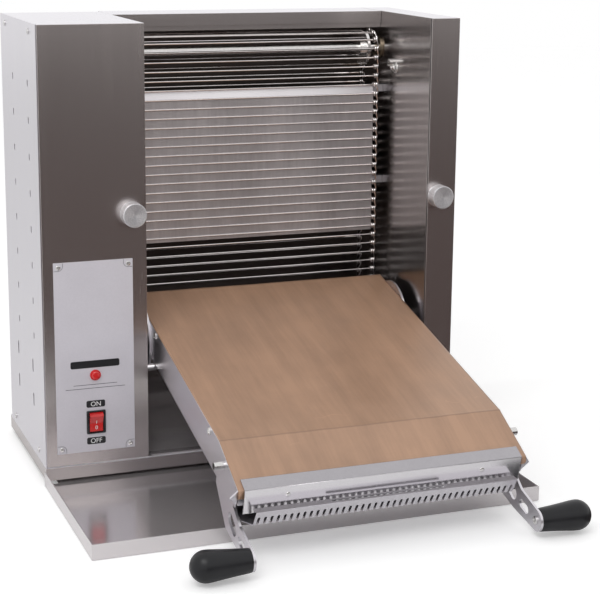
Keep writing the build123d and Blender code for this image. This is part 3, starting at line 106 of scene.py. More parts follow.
BELT_ENDS = [corner[0] for corner in limits("belt_front_run")]
TOP_SHAFT = middle_of("top_shaft")
DRIVE_SHAFT = middle_of("drive_shaft")
ROD_PITCH = 12.7
SPROCKET_TEETH = 12
PITCH_RADIUS = ROD_PITCH / (2 * math.sin(math.pi / SPROCKET_TEETH))
HINGE = middle_of("hinge_pins")
PIVOT_DROP = 41.4  # from the platen's face down to the hinge
PIVOT_FROM_REAR = 49.5  # from the platen's rear edge to the hinge
OPEN_TILT = math.radians(13.6)
PLATEN_FLAT = 386.0
FLARE_LENGTH = 79.0
FLARE = math.radians(14.1)
SHEET_WRAP = 14.0
RIVETS_X = (-76.0, 170.0)
BOLT_Y, BOLT_Z = 110.5, 513.8
EYE = (-678.5, -1938.3, 727.1)
EYE_YAW, EYE_PITCH, EYE_ROLL = (math.radians(turn) for turn in (-20.866, -12.398, 0.555))


# ---- Mesh tools: a shape is a pair of points and face lists -----------------------------
def together(*parts):
    """Arrays as the last axis of one array; a part may be one value for all."""
    return np.stack(np.broadcast_arrays(*parts), axis=-1)


def unit(arrows):
    """Arrows drawn out or in to a length of one."""
    return arrows / np.linalg.norm(arrows, axis=-1, keepdims=True)


def grid_faces(rows, columns, closed=False):
    """Quads of a grid of rows by columns; closed joins the last column to the first."""
    wide = columns if closed else columns - 1
    row, column = np.meshgrid(np.arange(rows - 1), np.arange(wide), indexing="ij")
    here, after = row * columns, (column + 1) % columns
    beyond = here + columns
    quads = together(here + column, here + after, beyond + after, beyond + column)
    return quads.reshape(-1, 4).tolist()


def linked(name, data):
    """An object of the scene."""
    made = bpy.data.objects.new(name, data)
    bpy.context.scene.collection.objects.link(made)
    return made


def new_object(name, shape, finish, body, smooth=True, angle=40.0):
    """A piece from a shape, riding on a body."""
    points, faces = shape
    mesh = bpy.data.meshes.new(name)
    mesh.from_pydata(placed(points).tolist(), [], faces)
    mesh.validate()
    if smooth:
        mesh.shade_smooth()
        mesh.set_sharp_from_angle(angle=math.radians(angle))
    mesh.materials.append(finish)
    piece = linked(name, mesh)
    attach(piece, body)
    return piece


def facing_out(piece):
    """Turn a closed piece's faces outwards."""
    work = bmesh.new()
    work.from_mesh(piece.data)
    bmesh.ops.recalc_face_normals(work, faces=work.faces)
    work.to_mesh(piece.data)
    work.free()


def stand_in(node, ending, shape, finish, angle=40.0):
    """A closed piece that takes a CAD node's place on the node's own body."""
    body = NODES[node]["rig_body"]
    piece = new_object(node + ending, shape, finish, body, angle=angle)
    facing_out(piece)
    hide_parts(node)


def frame_of(axis):
    """Two unit vectors that complete a right-handed set with an axis."""
    axis = unit(np.asarray(axis, float))
    first = unit(np.cross((0.0, 0.0, 1.0) if abs(axis[2]) < 0.9 else (0.0, 1.0, 0.0), axis))
    return first, np.cross(axis, first), axis


def revolved(profile, centre, axis, segments, reshape=None):
    """A profile of (radius, height) turned about an axis.

    Point (i, j) is centre + radius_i (cos a_j first + sin a_j second) + height_i axis,
    with a_j = 2 pi j / segments. A radius of nought at an end becomes one pole point.
    reshape(radius, angle, height) gives each grid point its own radius and height.
    """
    profile, centre = np.asarray(profile, float), np.asarray(centre, float)
    first, second, axis = frame_of(axis)
    ring = profile[profile[:, 0] > 1e-6]
    angle = TAU * np.arange(segments) / segments
    radius, height, turn = np.broadcast_arrays(ring[:, :1], ring[:, 1:], angle)
    if reshape:
        radius, height = reshape(radius, turn, height)
    points = (
        centre
        + (radius * np.cos(turn))[..., None] * first
        + (radius * np.sin(turn))[..., None] * second
        + height[..., None] * axis
    ).reshape(-1, 3)
    faces = grid_faces(len(ring), segments, closed=True)
    around = np.arange(segments)
    following = (around + 1) % segments

    def pole(high, one, other):
        nonlocal points, faces
        points = np.vstack([points, centre + high * axis])
        faces += together(len(points) - 1, one, other).tolist()

    if profile[0, 0] <= 1e-6:
        start = profile[0, 1]
        pole(float(reshape(0.0, 0.0, start)[1]) if reshape else start, following, around)
    if profile[-1, 0] <= 1e-6:
        last = (len(ring) - 1) * segments
        pole(profile[-1, 1], last + around, last + following)
    return points, faces


def joined(shapes):
    """Several shapes as one."""
    points, faces, start = [], [], 0
    for shape_points, shape_faces in shapes:
        points.append(shape_points)
        faces += [[index + start for index in face] for face in shape_faces]
        start += len(shape_points)
    return np.vstack(points), faces


def moved(shape, by):
    """A shape set off by a vector."""
    return shape[0] + by, shape[1]


def softened(name, finish, width=0.5, shortest=12.0):
    """A copy of a CAD node with its loose triangles merged and its long edges rounded.

    Edges that bend by more than 30 degrees are sharp, and rounded if they are long. A
    slighter bend stays sharp where both its faces are wider than 3 mm.
    """
    source = NODES[name]
    mesh = source.data.copy()
    mesh.name = name + "_dressed"
    work = bmesh.new()
    work.from_mesh(mesh)
    bmesh.ops.remove_doubles(work, verts=work.verts, dist=2e-6)
    bmesh.ops.dissolve_limit(
        work, angle_limit=math.radians(0.4), verts=work.verts, edges=work.edges
    )
    layer = work.edges.layers.float.new("bevel_weight_edge")
    for edge in work.edges:
        bend = edge.calc_face_angle(0) if len(edge.link_faces) == 2 else 0.0
        length = edge.calc_length()
        if bend > math.radians(30):
            edge.smooth = False
            edge[layer] = float(length > shortest * MM)
        elif bend > math.radians(3):
            edge.smooth = min(face.calc_area() for face in edge.link_faces) / length < 3 * MM
    work.to_mesh(mesh)
    work.free()
    if "custom_normal" in mesh.attributes:
        mesh.attributes.remove(mesh.attributes["custom_normal"])
    mesh.polygons.foreach_set("use_smooth", np.ones(len(mesh.polygons), bool))
    mesh.materials.clear()
    mesh.materials.append(finish)
    piece = linked(name + "_dressed", mesh)
    bevel = piece.modifiers.new("edge_rounding", "BEVEL")
    bevel.width = width * MM
    bevel.segments = 2
    bevel.limit_method = "WEIGHT"
    bevel.harden_normals = True
    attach(piece, source["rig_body"])
    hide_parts(name)


def dress(finish, *names):
    """Give CAD nodes a finish."""
    for name in names:
        node = NODES[name]
        if not node.material_slots:
            node.data.materials.append(finish)
        for place in node.material_slots:
            place.material = finish


# ---- Node tools -----------------------------------------------------------------------
def add(tree, kind, inputs=None, **settings):
    """A node with its settings and its inputs, which are values or sockets."""
    made = tree.nodes.new(kind)
    for key, value in settings.items():
        setattr(made, key, value)
    for key, value in (inputs or {}).items():
        if isinstance(value, bpy.types.NodeSocket):
            tree.links.new(value, made.inputs[key])
        else:
            made.inputs[key].default_value = value
    return made


def mixed(tree, factor, first, second):
    """A colour between two colours."""
    blend = add(tree, "ShaderNodeMix", {0: factor, 6: first, 7: second}, data_type="RGBA")
    return blend.outputs[2]


def maths(tree, operation, first, second=0.0, clamp=False):
    """The result of one sum on two values."""
    made = add(tree, "ShaderNodeMath", {0: first, 1: second}, operation=operation)
    made.use_clamp = clamp
    return made.outputs[0]


def vectors(tree, operation, first, second=(0.0, 0.0, 0.0)):
    """A node that does one sum on two vectors."""
    return add(tree, "ShaderNodeVectorMath", {0: first, 1: second}, operation=operation)


def weighed(tree, *pairs):
    """The sum of values, each times its own weight."""
    parts = [maths(tree, "MULTIPLY", value, weight) for value, weight in pairs]
    total = parts[0]
    for part in parts[1:]:
        total = maths(tree, "ADD", total, part)
    return total


def ranged(tree, value, low, high, new_low, new_high):
    """A value carried from one range to another."""
    inputs = {"Value": value, "From Min": low, "From Max": high}
    inputs.update({"To Min": new_low, "To Max": new_high})
    return add(tree, "ShaderNodeMapRange", inputs).outputs[0]


def noise(tree, vector, scale, detail=2.0, roughness=0.5):
    """Soft random values; scale is in waves to the metre."""
    inputs = {"Vector": vector, "Scale": scale, "Detail": detail, "Roughness": roughness}
    return add(tree, "ShaderNodeTexNoise", inputs).outputs["Fac"]


FLOAT, COLOUR, VECTOR = "NodeSocketFloat", "NodeSocketColor", "NodeSocketVector"
GREY = (0.5, 0.5, 0.5, 1)


def new_group(name, **inputs):
    """An effect's node group: its tree and its inputs, which are a Vector and those given."""
    tree = bpy.data.node_groups.new(name, "ShaderNodeTree")
    tree.interface.new_socket("Vector", in_out="INPUT", socket_type=VECTOR)
    for label, value in inputs.items():
        kind = FLOAT if isinstance(value, float) else COLOUR
        socket = tree.interface.new_socket(label, in_out="INPUT", socket_type=kind)
        socket.default_value = value
    return tree, tree.nodes.new("NodeGroupInput").outputs


def close_group(tree, colour, roughness, height):
    """Name the group's outputs and link them."""
    for label, kind in (("Color", COLOUR), ("Roughness", FLOAT), ("Height", FLOAT)):
        tree.interface.new_socket(label, in_out="OUTPUT", socket_type=kind)
    add(tree, "NodeGroupOutput", {"Color": colour, "Roughness": roughness, "Height": height})
    return tree


def grain_group():
    """Brushed sheet: hairlines along one way, longer streaks and broad smudges."""
    tree, given = new_group("sheet_grain", Light=GREY, Dark=GREY, Smooth=0.2, Rough=0.35)
    hairs = noise(tree, given["Vector"], 260.0, 4.0, 0.65)
    streaks = noise(tree, given["Vector"], 30.0, 3.0, 0.6)
    smudges = noise(tree, given["Vector"], 9.9, 3.0, 0.55)
    tone = weighed(tree, (hairs, 0.45), (streaks, 0.3), (smudges, 0.25))
    factor = ranged(tree, tone, 0.3, 0.7, 0.0, 1.0)
    wear = weighed(tree, (smudges, 0.6), (hairs, 0.4))
    rough = ranged(tree, wear, 0.3, 0.7, given["Smooth"], given["Rough"])
    return close_group(tree, mixed(tree, factor, given["Dark"], given["Light"]), rough, hairs)


def skin_group():
    """Moulded or cast skin: fine pits over slow waves."""
    tree, given = new_group(
        "moulded_skin", Light=GREY, Dark=GREY, Grain=900.0, Smooth=0.2, Rough=0.35
    )
    pits = noise(tree, given["Vector"], given["Grain"], 3.0, 0.6)
    waves = noise(tree, given["Vector"], maths(tree, "MULTIPLY", given["Grain"], 0.04))
    both = weighed(tree, (pits, 0.5), (waves, 0.5))
    factor = ranged(tree, both, 0.35, 0.65, 0.0, 1.0)
    rough = ranged(tree, both, 0.35, 0.65, given["Smooth"], given["Rough"])
    return close_group(tree, mixed(tree, factor, given["Dark"], given["Light"]), rough, pits)


def cloth_group():
    """Coated glass cloth: a plain weave under a satin skin, streaked along its length.

    The vector is in metres across and along the cloth; Fold is how far along it bends. A darker
    line along the fold is painted shade at the bend.
    """
    tree, given = new_group(
        "coated_cloth", Light=GREY, Dark=GREY, Crease=GREY, Scuff=GREY, Threads=900.0, Fold=0.38
    )
    parts = add(tree, "ShaderNodeSeparateXYZ", {0: given["Vector"]}).outputs
    warp, weft = (
        maths(tree, "SINE", maths(tree, "MULTIPLY", part, given["Threads"])) for part in parts[:2]
    )
    weave = maths(tree, "MULTIPLY", warp, weft)
    marks = noise(tree, given["Vector"], 11.0, 5.0, 0.6)
    lengthwise = vectors(tree, "MULTIPLY", given["Vector"], (1.0, 0.07, 1.0)).outputs[0]
    broad = noise(tree, lengthwise, 42.0, 1.0, 0.5)
    fine = noise(tree, lengthwise, 240.0, 2.0, 0.6)
    tone = weighed(tree, (marks, 0.42), (broad, 0.36), (fine, 0.22), (weave, 0.02))
    factor = ranged(tree, tone, 0.38, 0.62, 0.0, 1.0)
    base = mixed(tree, factor, given["Dark"], given["Light"])
    # A darker line along the fold, wavering a little: painted shade at the bend.
    waver = maths(tree, "MULTIPLY", maths(tree, "SUBTRACT", broad, 0.5), 0.002)
    off = maths(tree, "ADD", maths(tree, "SUBTRACT", parts[1], given["Fold"]), waver)
    fold_shade = ranged(tree, maths(tree, "ABSOLUTE", off), 0.0004, 0.0015, 0.55, 0.0)
    base = mixed(tree, fold_shade, base, given["Crease"])
    scratch = maths(tree, "SUBTRACT", noise(tree, lengthwise, 75.0, 0.0, 0.5), 0.56)
    line = ranged(tree, maths(tree, "ABSOLUTE", scratch), 0.0, 0.0016, 0.4, 0.0)
    patch = ranged(tree, marks, 0.5, 0.58, 0.0, 1.0)
    base = mixed(tree, maths(tree, "MULTIPLY", line, patch), base, given["Scuff"])
    rough = ranged(tree, marks, 0.3, 0.7, 0.28, 0.46)
    return close_group(tree, base, rough, weighed(tree, (weave, 0.12), (marks, 1.0)))


def ring_group():
    """Turned metal: rings about the axis through the vector's origin, with two lighter fans painted
    by angle as highlights.
    """
    tree, given = new_group("turned_rings_painted_fans", Light=GREY, Dark=GREY)
    away = vectors(tree, "LENGTH", given["Vector"])
    rings = maths(tree, "SINE", maths(tree, "MULTIPLY", away.outputs["Value"], 14000.0))
    fleck = noise(tree, given["Vector"], 700.0, 3.0, 0.6)
    parts = add(tree, "ShaderNodeSeparateXYZ", {"Vector": given["Vector"]}).outputs
    # The angle gives two lighter fans: painted highlights, as turned metal shows them, fixed on the
    # face.
    angle = maths(tree, "ARCTAN2", parts["Z"], parts["X"])
    painted_fans = maths(tree, "COSINE", maths(tree, "ADD", maths(tree, "MULTIPLY", angle, 2.0), 0.7))
    tone = weighed(tree, (rings, 0.08), (fleck, 1.0), (painted_fans, 0.15))
    factor = ranged(tree, tone, 0.3, 0.75, 0.0, 1.0)
    rough = ranged(tree, fleck, 0.3, 0.7, 0.32, 0.42)
    return close_group(tree, mixed(tree, factor, given["Dark"], given["Light"]), rough, rings)


GROUP_MAKERS = {
    "sheet_grain": grain_group,
    "moulded_skin": skin_group,
    "coated_cloth": cloth_group,
    "turned_rings_painted_fans": ring_group,
}


def group(name):
    """A node group, built the first time that it is asked for."""
    return bpy.data.node_groups.get(name) or GROUP_MAKERS[name]()


def new_material(name):
    """A material and its node tree."""
    material = bpy.data.materials.new(name)
    material.use_nodes = True
    return material, material.node_tree


def surface(
    name, effect, values, metallic, bump, depth,
    stretch=(1, 1, 1), centre=(0, 0, 0), source="Object", constants=None, painted_light_and_shade=None,
):
    """A material whose colour, roughness and bump come from one node group.

    Given a (way, colour) pair, faces that look that way take that colour instead: painted light on
    faces that catch light and painted shade on faces in shade.
    """
    found = bpy.data.materials.get(name)
    if found:
        return found
    material, tree = new_material(name)
    shader = tree.nodes["Principled BSDF"]
    where = add(tree, "ShaderNodeTexCoord").outputs
    mapping = add(tree, "ShaderNodeMapping", {"Vector": where[source], "Scale": stretch})
    mapping.inputs["Location"].default_value = [-c * s for c, s in zip(centre, stretch)]
    look = add(tree, "ShaderNodeGroup", node_tree=group(effect))
    tree.links.new(mapping.outputs[0], look.inputs["Vector"])
    for key, value in values.items():
        look.inputs[key].default_value = value
    colour = look.outputs["Color"]
    if painted_light_and_shade:
        toward = vectors(tree, "DOT_PRODUCT", where["Normal"], painted_light_and_shade[0])
        mask = ranged(tree, toward.outputs["Value"], 0.5, 0.8, 0.0, 1.0)
        colour = mixed(tree, mask, colour, painted_light_and_shade[1])
    tree.links.new(colour, shader.inputs["Base Color"])
    tree.links.new(look.outputs["Roughness"], shader.inputs["Roughness"])
    inputs = {"Strength": bump, "Distance": depth * MM, "Height": look.outputs["Height"]}
    relief = add(tree, "ShaderNodeBump", inputs)
    tree.links.new(relief.outputs[0], shader.inputs["Normal"])
    shader.inputs["Metallic"].default_value = metallic
    for key, value in (constants or {}).items():
        shader.inputs[key].default_value = value
    return material


def paint(colour, factor=1.0):
    """A colour times a factor, with its alpha."""
    return (colour[0] * factor, colour[1] * factor, colour[2] * factor, 1.0)


ACROSS, UPRIGHT, DEEP = (0.02, 1, 1), (1, 1, 0.02), (1, 0.02, 1)
FORWARD, UP = (0, -1, 0), (0, 0, 1)


# ---- Settings -------------------------------------------------------------------------
def colour_setting(name, description, default):
    """A colour that a user may change."""
    return bpy.props.FloatVectorProperty(
        name=name, description=description, subtype="COLOR", size=3, min=0, max=1, default=default
    )


def length_setting(name, description, default):
    """A length that a user may change, with its default in millimetres."""
    return bpy.props.FloatProperty(
        name=name, description=description, default=default * MM, unit="LENGTH", min=0, precision=5
    )


class SheetSettings(bpy.types.PropertyGroup):
    front: colour_setting("Front", "Satin stainless of the fronts", (0.62, 0.572, 0.562))
    side: colour_setting("Side", "Light stainless of sides and small sheets", (0.70, 0.68, 0.715))
    bright: colour_setting("Bright", "Bright stainless of tray and chute", (0.71, 0.675, 0.685))
    # Top is painted light: the paler colour that upward faces of the front sheets take, as if lit
    # from above.
    top: colour_setting("Top", "Pale tops of the front sheets", (0.78, 0.755, 0.80))
    edge: length_setting("Edge", "Rounding of the sheets' long edges", 0.45)


class BeltSettings(bpy.types.PropertyGroup):
    wire: length_setting("Wire", "Radius of the belt's wire", 1.15)
    curl: length_setting("Curl", "Radius of the curled ends round the next rod", 3.0)
    colour: colour_setting("Wire Colour", "Bright drawn wire", (0.72, 0.68, 0.67))


class SheetClothSettings(bpy.types.PropertyGroup):
    colour: colour_setting("Cloth", "Brown coated glass cloth", (0.405, 0.244, 0.158))
    wrinkle: length_setting("Wrinkle", "Height of the soft waves in the cloth", 0.35)


class ControlSettings(bpy.types.PropertyGroup):
    face: colour_setting("Face", "Light grey of the control plate", (0.58, 0.555, 0.60))
    red: colour_setting("Red", "Red of the rocker and the lamp", (0.62, 0.012, 0.012))
    black: colour_setting("Black", "Black of bezel, labels and grips", (0.012, 0.012, 0.014))


class StageSettings(bpy.types.PropertyGroup):
    floor: colour_setting("Floor", "Pale floor", (0.93, 0.93, 0.93))
    fill: bpy.props.FloatProperty(
        name="Fill", description="Strength of the even light", default=0.78, min=0
    )
    lens: bpy.props.FloatProperty(
        name="Lens", description="Focal length", default=96.0, unit="CAMERA"
    )


SETTINGS = {
    "toaster_sheet": SheetSettings,
    "toaster_belt": BeltSettings,
    "toaster_cloth": SheetClothSettings,
    "toaster_controls": ControlSettings,
    "toaster_stage": StageSettings,
}


# ---- Finishes -------------------------------------------------------------------------
def brushed(name, light, dark, rough, way, metallic=1.0, bump=0.02, depth=0.01, painted_light_and_shade=None):
    """Stainless sheet between two tones and two roughnesses, with its grain along one way."""
    values = {"Light": light, "Dark": dark, "Smooth": rough[0], "Rough": rough[1]}
    return surface(name, "sheet_grain", values, metallic, bump, depth, way, painted_light_and_shade=painted_light_and_shade)


def steel(context, slot, grain):
    """One of the toaster's three kinds of stainless sheet."""
    chosen = context.scene.toaster_sheet
    colour, rough, metallic = {
        "steel_front": (chosen.front, (0.24, 0.28), 1.0),
        "steel_side": (chosen.side, (0.26, 0.42), 1.0),
        "steel_bright": (chosen.bright, (0.12, 0.22), 0.78),
    }[slot]
    way = {"across": ACROSS, "upright": UPRIGHT, "deep": DEEP}[grain]
    # Front sheets with their grain across, the hood and the base pan, are the front stainless made
    # darker: painted shade.
    if (slot, grain) == ("steel_front", "across"):
        colour = [0.84 * part for part in colour]
    # Upward faces of the front sheets take the Top colour: painted light from above.
    top = (UP, paint(chosen.top)) if slot == "steel_front" else None
    name = f"{slot}-{grain}"
    return brushed(name, paint(colour, 1.02), paint(colour, 0.96), rough, way, metallic, painted_light_and_shade=top)


def skin(name, light, dark, rough, grain, metallic, bump, constants=None, depth=0.03):
    """A moulded, cast or machined finish."""
    values = {"Light": light, "Dark": dark, "Grain": grain, "Smooth": rough[0], "Rough": rough[1]}
    return surface(name, "moulded_skin", values, metallic, bump, depth, constants=constants)


def coat(weight, rough):
    """A clear coat over a finish."""
    return {"Coat Weight": weight, "Coat Roughness": rough}


def plain_metal(name, colour, rough, grain=500.0, bump=0.15):
    """A metal of one colour, a little lighter and darker in its pits."""
    return skin(name, paint(colour, 1.1), paint(colour, 0.85), rough, grain, 1.0, bump)


def plastic(name, colour, rough, grain, bump, constants=None):
    """A plastic, rubber, enamel, ink or wool of one colour."""
    return skin(name, paint(colour, 1.15), paint(colour, 0.8), rough, grain, 0.0, bump, constants)


def bright_screw():
    """The bright steel of screws, rivets and bolts."""
    return plain_metal("screw_steel-bright", (0.72, 0.71, 0.70), (0.16, 0.28), 800.0)


# ---- Pieces ---------------------------------------------------------------------------
class TOASTER_OT_sheet_metal(bpy.types.Operator):
    """Round the edges of the body's sheets and give them brushed stainless"""

    bl_idname = "toaster.sheet_metal"
    bl_label = "Sheet Metal"

    def execute(self, context):
        edge = context.scene.toaster_sheet.edge / MM
        side = context.scene.toaster_sheet.side
        for name, slot, grain in (
            ("base_pan", "steel_front", "across"),
            ("base_deck", "steel_side", "across"),
            ("cabinet_shell", "steel_front", "upright"),
            ("cabinet_side_cover", "steel_side", "upright"),
            ("column_shell", "steel_front", "upright"),
            ("top_cover", "steel_front", "across"),
            ("exit_chute", "steel_bright", "across"),
            ("landing_tray", "steel_bright", "across"),
        ):
            wide = 1.8 if name.endswith("_shell") else 1.0
            softened(name, steel(context, slot, grain), edge * wide)
        # Rear panel faces that look forward, into the well, take a near-black colour: painted shade
        # inside the machine.
        painted_inner_shade = brushed(
            "steel_side-painted_inner_shade", paint(side, 1.03), paint(side, 0.95), (0.26, 0.42), ACROSS,
            bump=0.05, painted_light_and_shade=(FORWARD, paint((0.085, 0.07, 0.064))),
        )
        softened("rear_panel", painted_inner_shade, edge)
        # The liner is bright stainless painted at about half its lightness: painted shade inside
        # the well.
        liner = brushed(
            "steel_bright-liner", paint((0.36, 0.335, 0.33)), paint((0.30, 0.28, 0.275)),
            (0.17, 0.25), UPRIGHT, bump=0.05,
        )
        softened("column_liner", liner, edge)
        # The pressure plate's bent lead-in leans back a little, so it counts as facing up and takes
        # a paler colour: painted light on the lead-in, while the plate's smudges stay stains.
        stains_and_lit_lead_in = brushed(
            "steel_bright-stains_and_lit_lead_in", paint((0.66, 0.615, 0.62)), paint((0.5, 0.465, 0.47)),
            (0.34, 0.52), (1, 1, 0.12), 0.88, 0.08, 0.02,
            painted_light_and_shade=((0, 0, 3.5), paint((0.86, 0.83, 0.85))),
        )
        softened("backing_plate", stains_and_lit_lead_in, edge)
        upright = steel(context, "steel_side", "upright")
        dress(upright, "plate_arms", "spindle_supports", "motor_bracket")
        return {"FINISHED"}


class TOASTER_OT_door_metal(bpy.types.Operator):
    """Round the edges of the door's sheets and levers and give them their metals"""

    bl_idname = "toaster.door_metal"
    bl_label = "Door Metal"

    def execute(self, context):
        edge = context.scene.toaster_sheet.edge / MM
        deep = steel(context, "steel_side", "deep")
        across = steel(context, "steel_side", "across")
        for finish, ends in ((deep, ("side_left", "side_right")), (across, ("pan", "cover"))):
            for end in ends:
                softened("door_" + end, finish, edge, 20.0)
        # The clip's forward faces take a much paler colour than its top strip: painted light on the
        # front flange.
        clip_painted_front_light = brushed(
            "steel_side-clip", paint((0.44, 0.425, 0.445)), paint((0.40, 0.385, 0.405)),
            (0.16, 0.26), UPRIGHT, bump=0.005, painted_light_and_shade=(FORWARD, paint((0.74, 0.72, 0.745))),
        )
        softened("sheet_clip", clip_painted_front_light, 3 * edge, 20.0)
        for name in ("lever_left", "lever_right"):
            softened(name, deep, 0.5, 5.0)
        dress(steel(context, "steel_side", "upright"), "hinge_discs")
        cast = plain_metal("cast_platen-skin", (0.42, 0.41, 0.40), (0.4, 0.55), 260.0, 0.4)
        dress(cast, "platen")
        dress(bright_screw(), "cover_standoffs", "guide_tubes")
        element = plain_metal("element_metal-stained", (0.22, 0.19, 0.18), (0.35, 0.55), 300.0)
        dress(element, "platen_heater")
        wool = plastic("blanket_white-wool", (0.74, 0.73, 0.69), (0.85, 0.95), 420.0, 0.9)
        dress(wool, "insulation_blanket")
        return {"FINISHED"}


def loop_places():
    """The rods' places round both shafts, in the order of travel, as plan (y, z).

    The front run climbs, the top wrap goes over the shaft by steps of 30 degrees, the
    rear run comes down, and the bottom wrap goes back under.
    """
    pitches = round((TOP_SHAFT[2] - DRIVE_SHAFT[2]) / ROD_PITCH)
    climb = DRIVE_SHAFT[2] + ROD_PITCH * np.arange(pitches + 1)
    angle = TAU / SPROCKET_TEETH * np.arange(1, SPROCKET_TEETH // 2)
    front = TOP_SHAFT[1] - PITCH_RADIUS
    rear = TOP_SHAFT[1] + PITCH_RADIUS
    arc_y = TOP_SHAFT[1] - PITCH_RADIUS * np.cos(angle)
    arc_z = PITCH_RADIUS * np.sin(angle)
    return [
        together(front, climb),
        together(arc_y, TOP_SHAFT[2] + arc_z),
        together(rear, climb[::-1]),
        together(arc_y[::-1], DRIVE_SHAFT[2] - arc_z[::-1]),
    ]


def curled_end(reach, wire, curl):
    """Half a rod from the belt's middle to its curled end, as points and normals.

    In the rod's own (x, s, n): the rod runs out along x, turns on a quarter circle to
    rise along s, leans out along n as a smooth step, and winds one and six tenths turns
    round the next rod, whose axis is one pitch up s.
    """
    bend = 2.6
    turns, coil_width = 1.6, 4.4
    inner = reach - wire - bend
    turn = np.linspace(0, math.pi / 2, 7)
    arc = together(inner + bend * np.sin(turn), bend * (1 - np.cos(turn)), 0.0)
    rise = np.linspace(0.12, 1, 8)
    step = rise * rise * (3 - 2 * rise)
    outer = reach - wire
    coil_x = outer - bend
    out = outer + (coil_x - outer) * step
    climb = together(out, bend + (ROD_PITCH - bend) * rise, curl * step)
    wind = np.linspace(0, 1, 26)[1:]
    around = math.pi / 2 - wind * turns * TAU
    sweep = coil_x - coil_width * wind
    coil = together(sweep, ROD_PITCH + curl * np.cos(around), curl * np.sin(around))
    path = np.vstack([[[0.0, 0.0, 0.0]], arc, climb, coil])
    along = np.gradient(path, axis=0)
    along[0] = (1.0, 0.0, 0.0)
    along = unit(along)
    normal = np.cross((1.0, 0.0, 0.0), along)
    length = np.linalg.norm(normal, axis=1, keepdims=True)
    flat = np.arange(len(path)) < 1 + len(arc)
    normal = np.where(flat[:, None], (0.0, 0.0, 1.0), normal / np.maximum(length, 1e-6))
    return path, normal


def belt_wires(places, following, wire, curl):
    """Curled rods as one shape: a circle swept along each rod's path.

    Point (i, j) of a rod is path_i + wire (cos a_j normal_i + sin a_j across_i), turned so
    that s runs to the next rod's place and n out of the loop.
    """
    sides = 8
    middle = sum(BELT_ENDS) / 2
    path, normal = curled_end(BELT_ENDS[1] - middle, wire, curl)
    mirror = np.array([-1.0, 1.0, 1.0])
    path = np.vstack([(path * mirror)[::-1], path[1:]])
    normal = np.vstack([(normal * mirror)[::-1], normal[1:]])
    along = unit(np.gradient(path, axis=0))
    normal = unit(normal - along * (normal * along).sum(axis=1, keepdims=True))
    across = np.cross(along, normal)
    angle = (TAU * np.arange(sides) / sides)[None, :, None]
    ring = path[:, None] + wire * (
        np.cos(angle) * normal[:, None] + np.sin(angle) * across[:, None]
    )
    ring = ring.reshape(-1, 3)
    heading = unit(following - places)
    outward = together(-heading[:, 1], heading[:, 0])
    y, z = (
        places[:, k, None] + heading[:, k, None] * ring[:, 1] + outward[:, k, None] * ring[:, 2]
        for k in (0, 1)
    )
    points = together(middle + ring[:, 0], y, z).reshape(-1, 3)
    start = (np.arange(len(places)) * len(ring))[:, None, None]
    quads = np.array([grid_faces(len(path), sides, closed=True)]) + start
    first_cap = np.arange(sides)[::-1][None] + start[:, 0]
    last_cap = len(ring) - sides + np.arange(sides)[None] + start[:, 0]
    return points, quads.reshape(-1, 4).tolist() + first_cap.tolist() + last_cap.tolist()


class TOASTER_OT_wire_belt(bpy.types.Operator):
    """Sweep the belt's rods with their curled ends round both shafts"""

    bl_idname = "toaster.wire_belt"
    bl_label = "Wire Belt"

    def execute(self, context):
        chosen = context.scene.toaster_belt
        runs = loop_places()
        whole = np.vstack(runs)
        following = np.roll(whole, -1, axis=0)
        wire = plain_metal("belt_wire-drawn", chosen.colour, (0.14, 0.26), 300.0, 0.1)
        start = 0
        for run, part in zip(runs, ("front_run", "top_wrap", "rear_run", "bottom_wrap")):
            rods = slice(start, start + len(run))
            shape = belt_wires(whole[rods], following[rods], chosen.wire / MM, chosen.curl / MM)
            stand_in("belt_" + part, "_wires", shape, wire)
            start += len(run)
        shaft = brushed(
            "shaft_steel-ground", paint((0.82, 0.8, 0.79)), paint((0.66, 0.64, 0.63)),
            (0.14, 0.26), (1, 0.05, 0.05), bump=0.1, depth=0.02,
        )
        dress(shaft, "top_shaft", "drive_shaft", "top_sprockets", "drive_sprockets", "hinge_pins")
        dress(shaft, "spindle_left", "spindle_right")
        brass = plain_metal("brass_bush-machined", (0.36, 0.30, 0.22), (0.3, 0.45))
        dress(brass, "shaft_bearings", "spindle_bushes")
        dress(bright_screw(), "stop_bolts")
        return {"FINISHED"}


def cloth_profile(stations):
    """The cloth's line from the rear edge over the bend and round the free end.

    Straight runs between knots, joined by their lengths. The result is the distances
    along and below the platen's face, the distance run, and that of each knot.
    """
    depth = 0.33
    bend = (PLATEN_FLAT - depth * math.tan(FLARE / 2), depth)

    def flared(run, below):
        return (
            PLATEN_FLAT + run * math.cos(FLARE) - below * math.sin(FLARE),
            run * math.sin(FLARE) + below * math.cos(FLARE),
        )

    end = FLARE_LENGTH + 0.45
    knots = [(0.0, depth), bend, flared(end - 1.6, depth), flared(end - 0.4, depth + 0.45)]
    knots += [flared(end, depth + 1.7), flared(end, SHEET_WRAP)]
    knots = np.array(knots)
    steps = np.linalg.norm(np.diff(knots, axis=0), axis=1)
    reached = np.concatenate([[0], np.cumsum(steps)])
    run = np.interp(np.linspace(0, 1, stations), [0, 0.86, 1], [0, reached[2], reached[-1]])
    run = np.unique(np.concatenate([run, reached]))
    along = np.interp(run, reached, knots[:, 0])
    below = np.interp(run, reached, knots[:, 1])
    return along, below, run, reached


def on_open_door(x, along, below):
    """Door coordinates as plan points while the door is open."""
    y = PIVOT_FROM_REAR - along
    z = PIVOT_DROP - below
    turned_y = y * math.cos(OPEN_TILT) - z * math.sin(OPEN_TILT)
    turned_z = y * math.sin(OPEN_TILT) + z * math.cos(OPEN_TILT)
    return together(x, HINGE[1] + turned_y, HINGE[2] + turned_z)


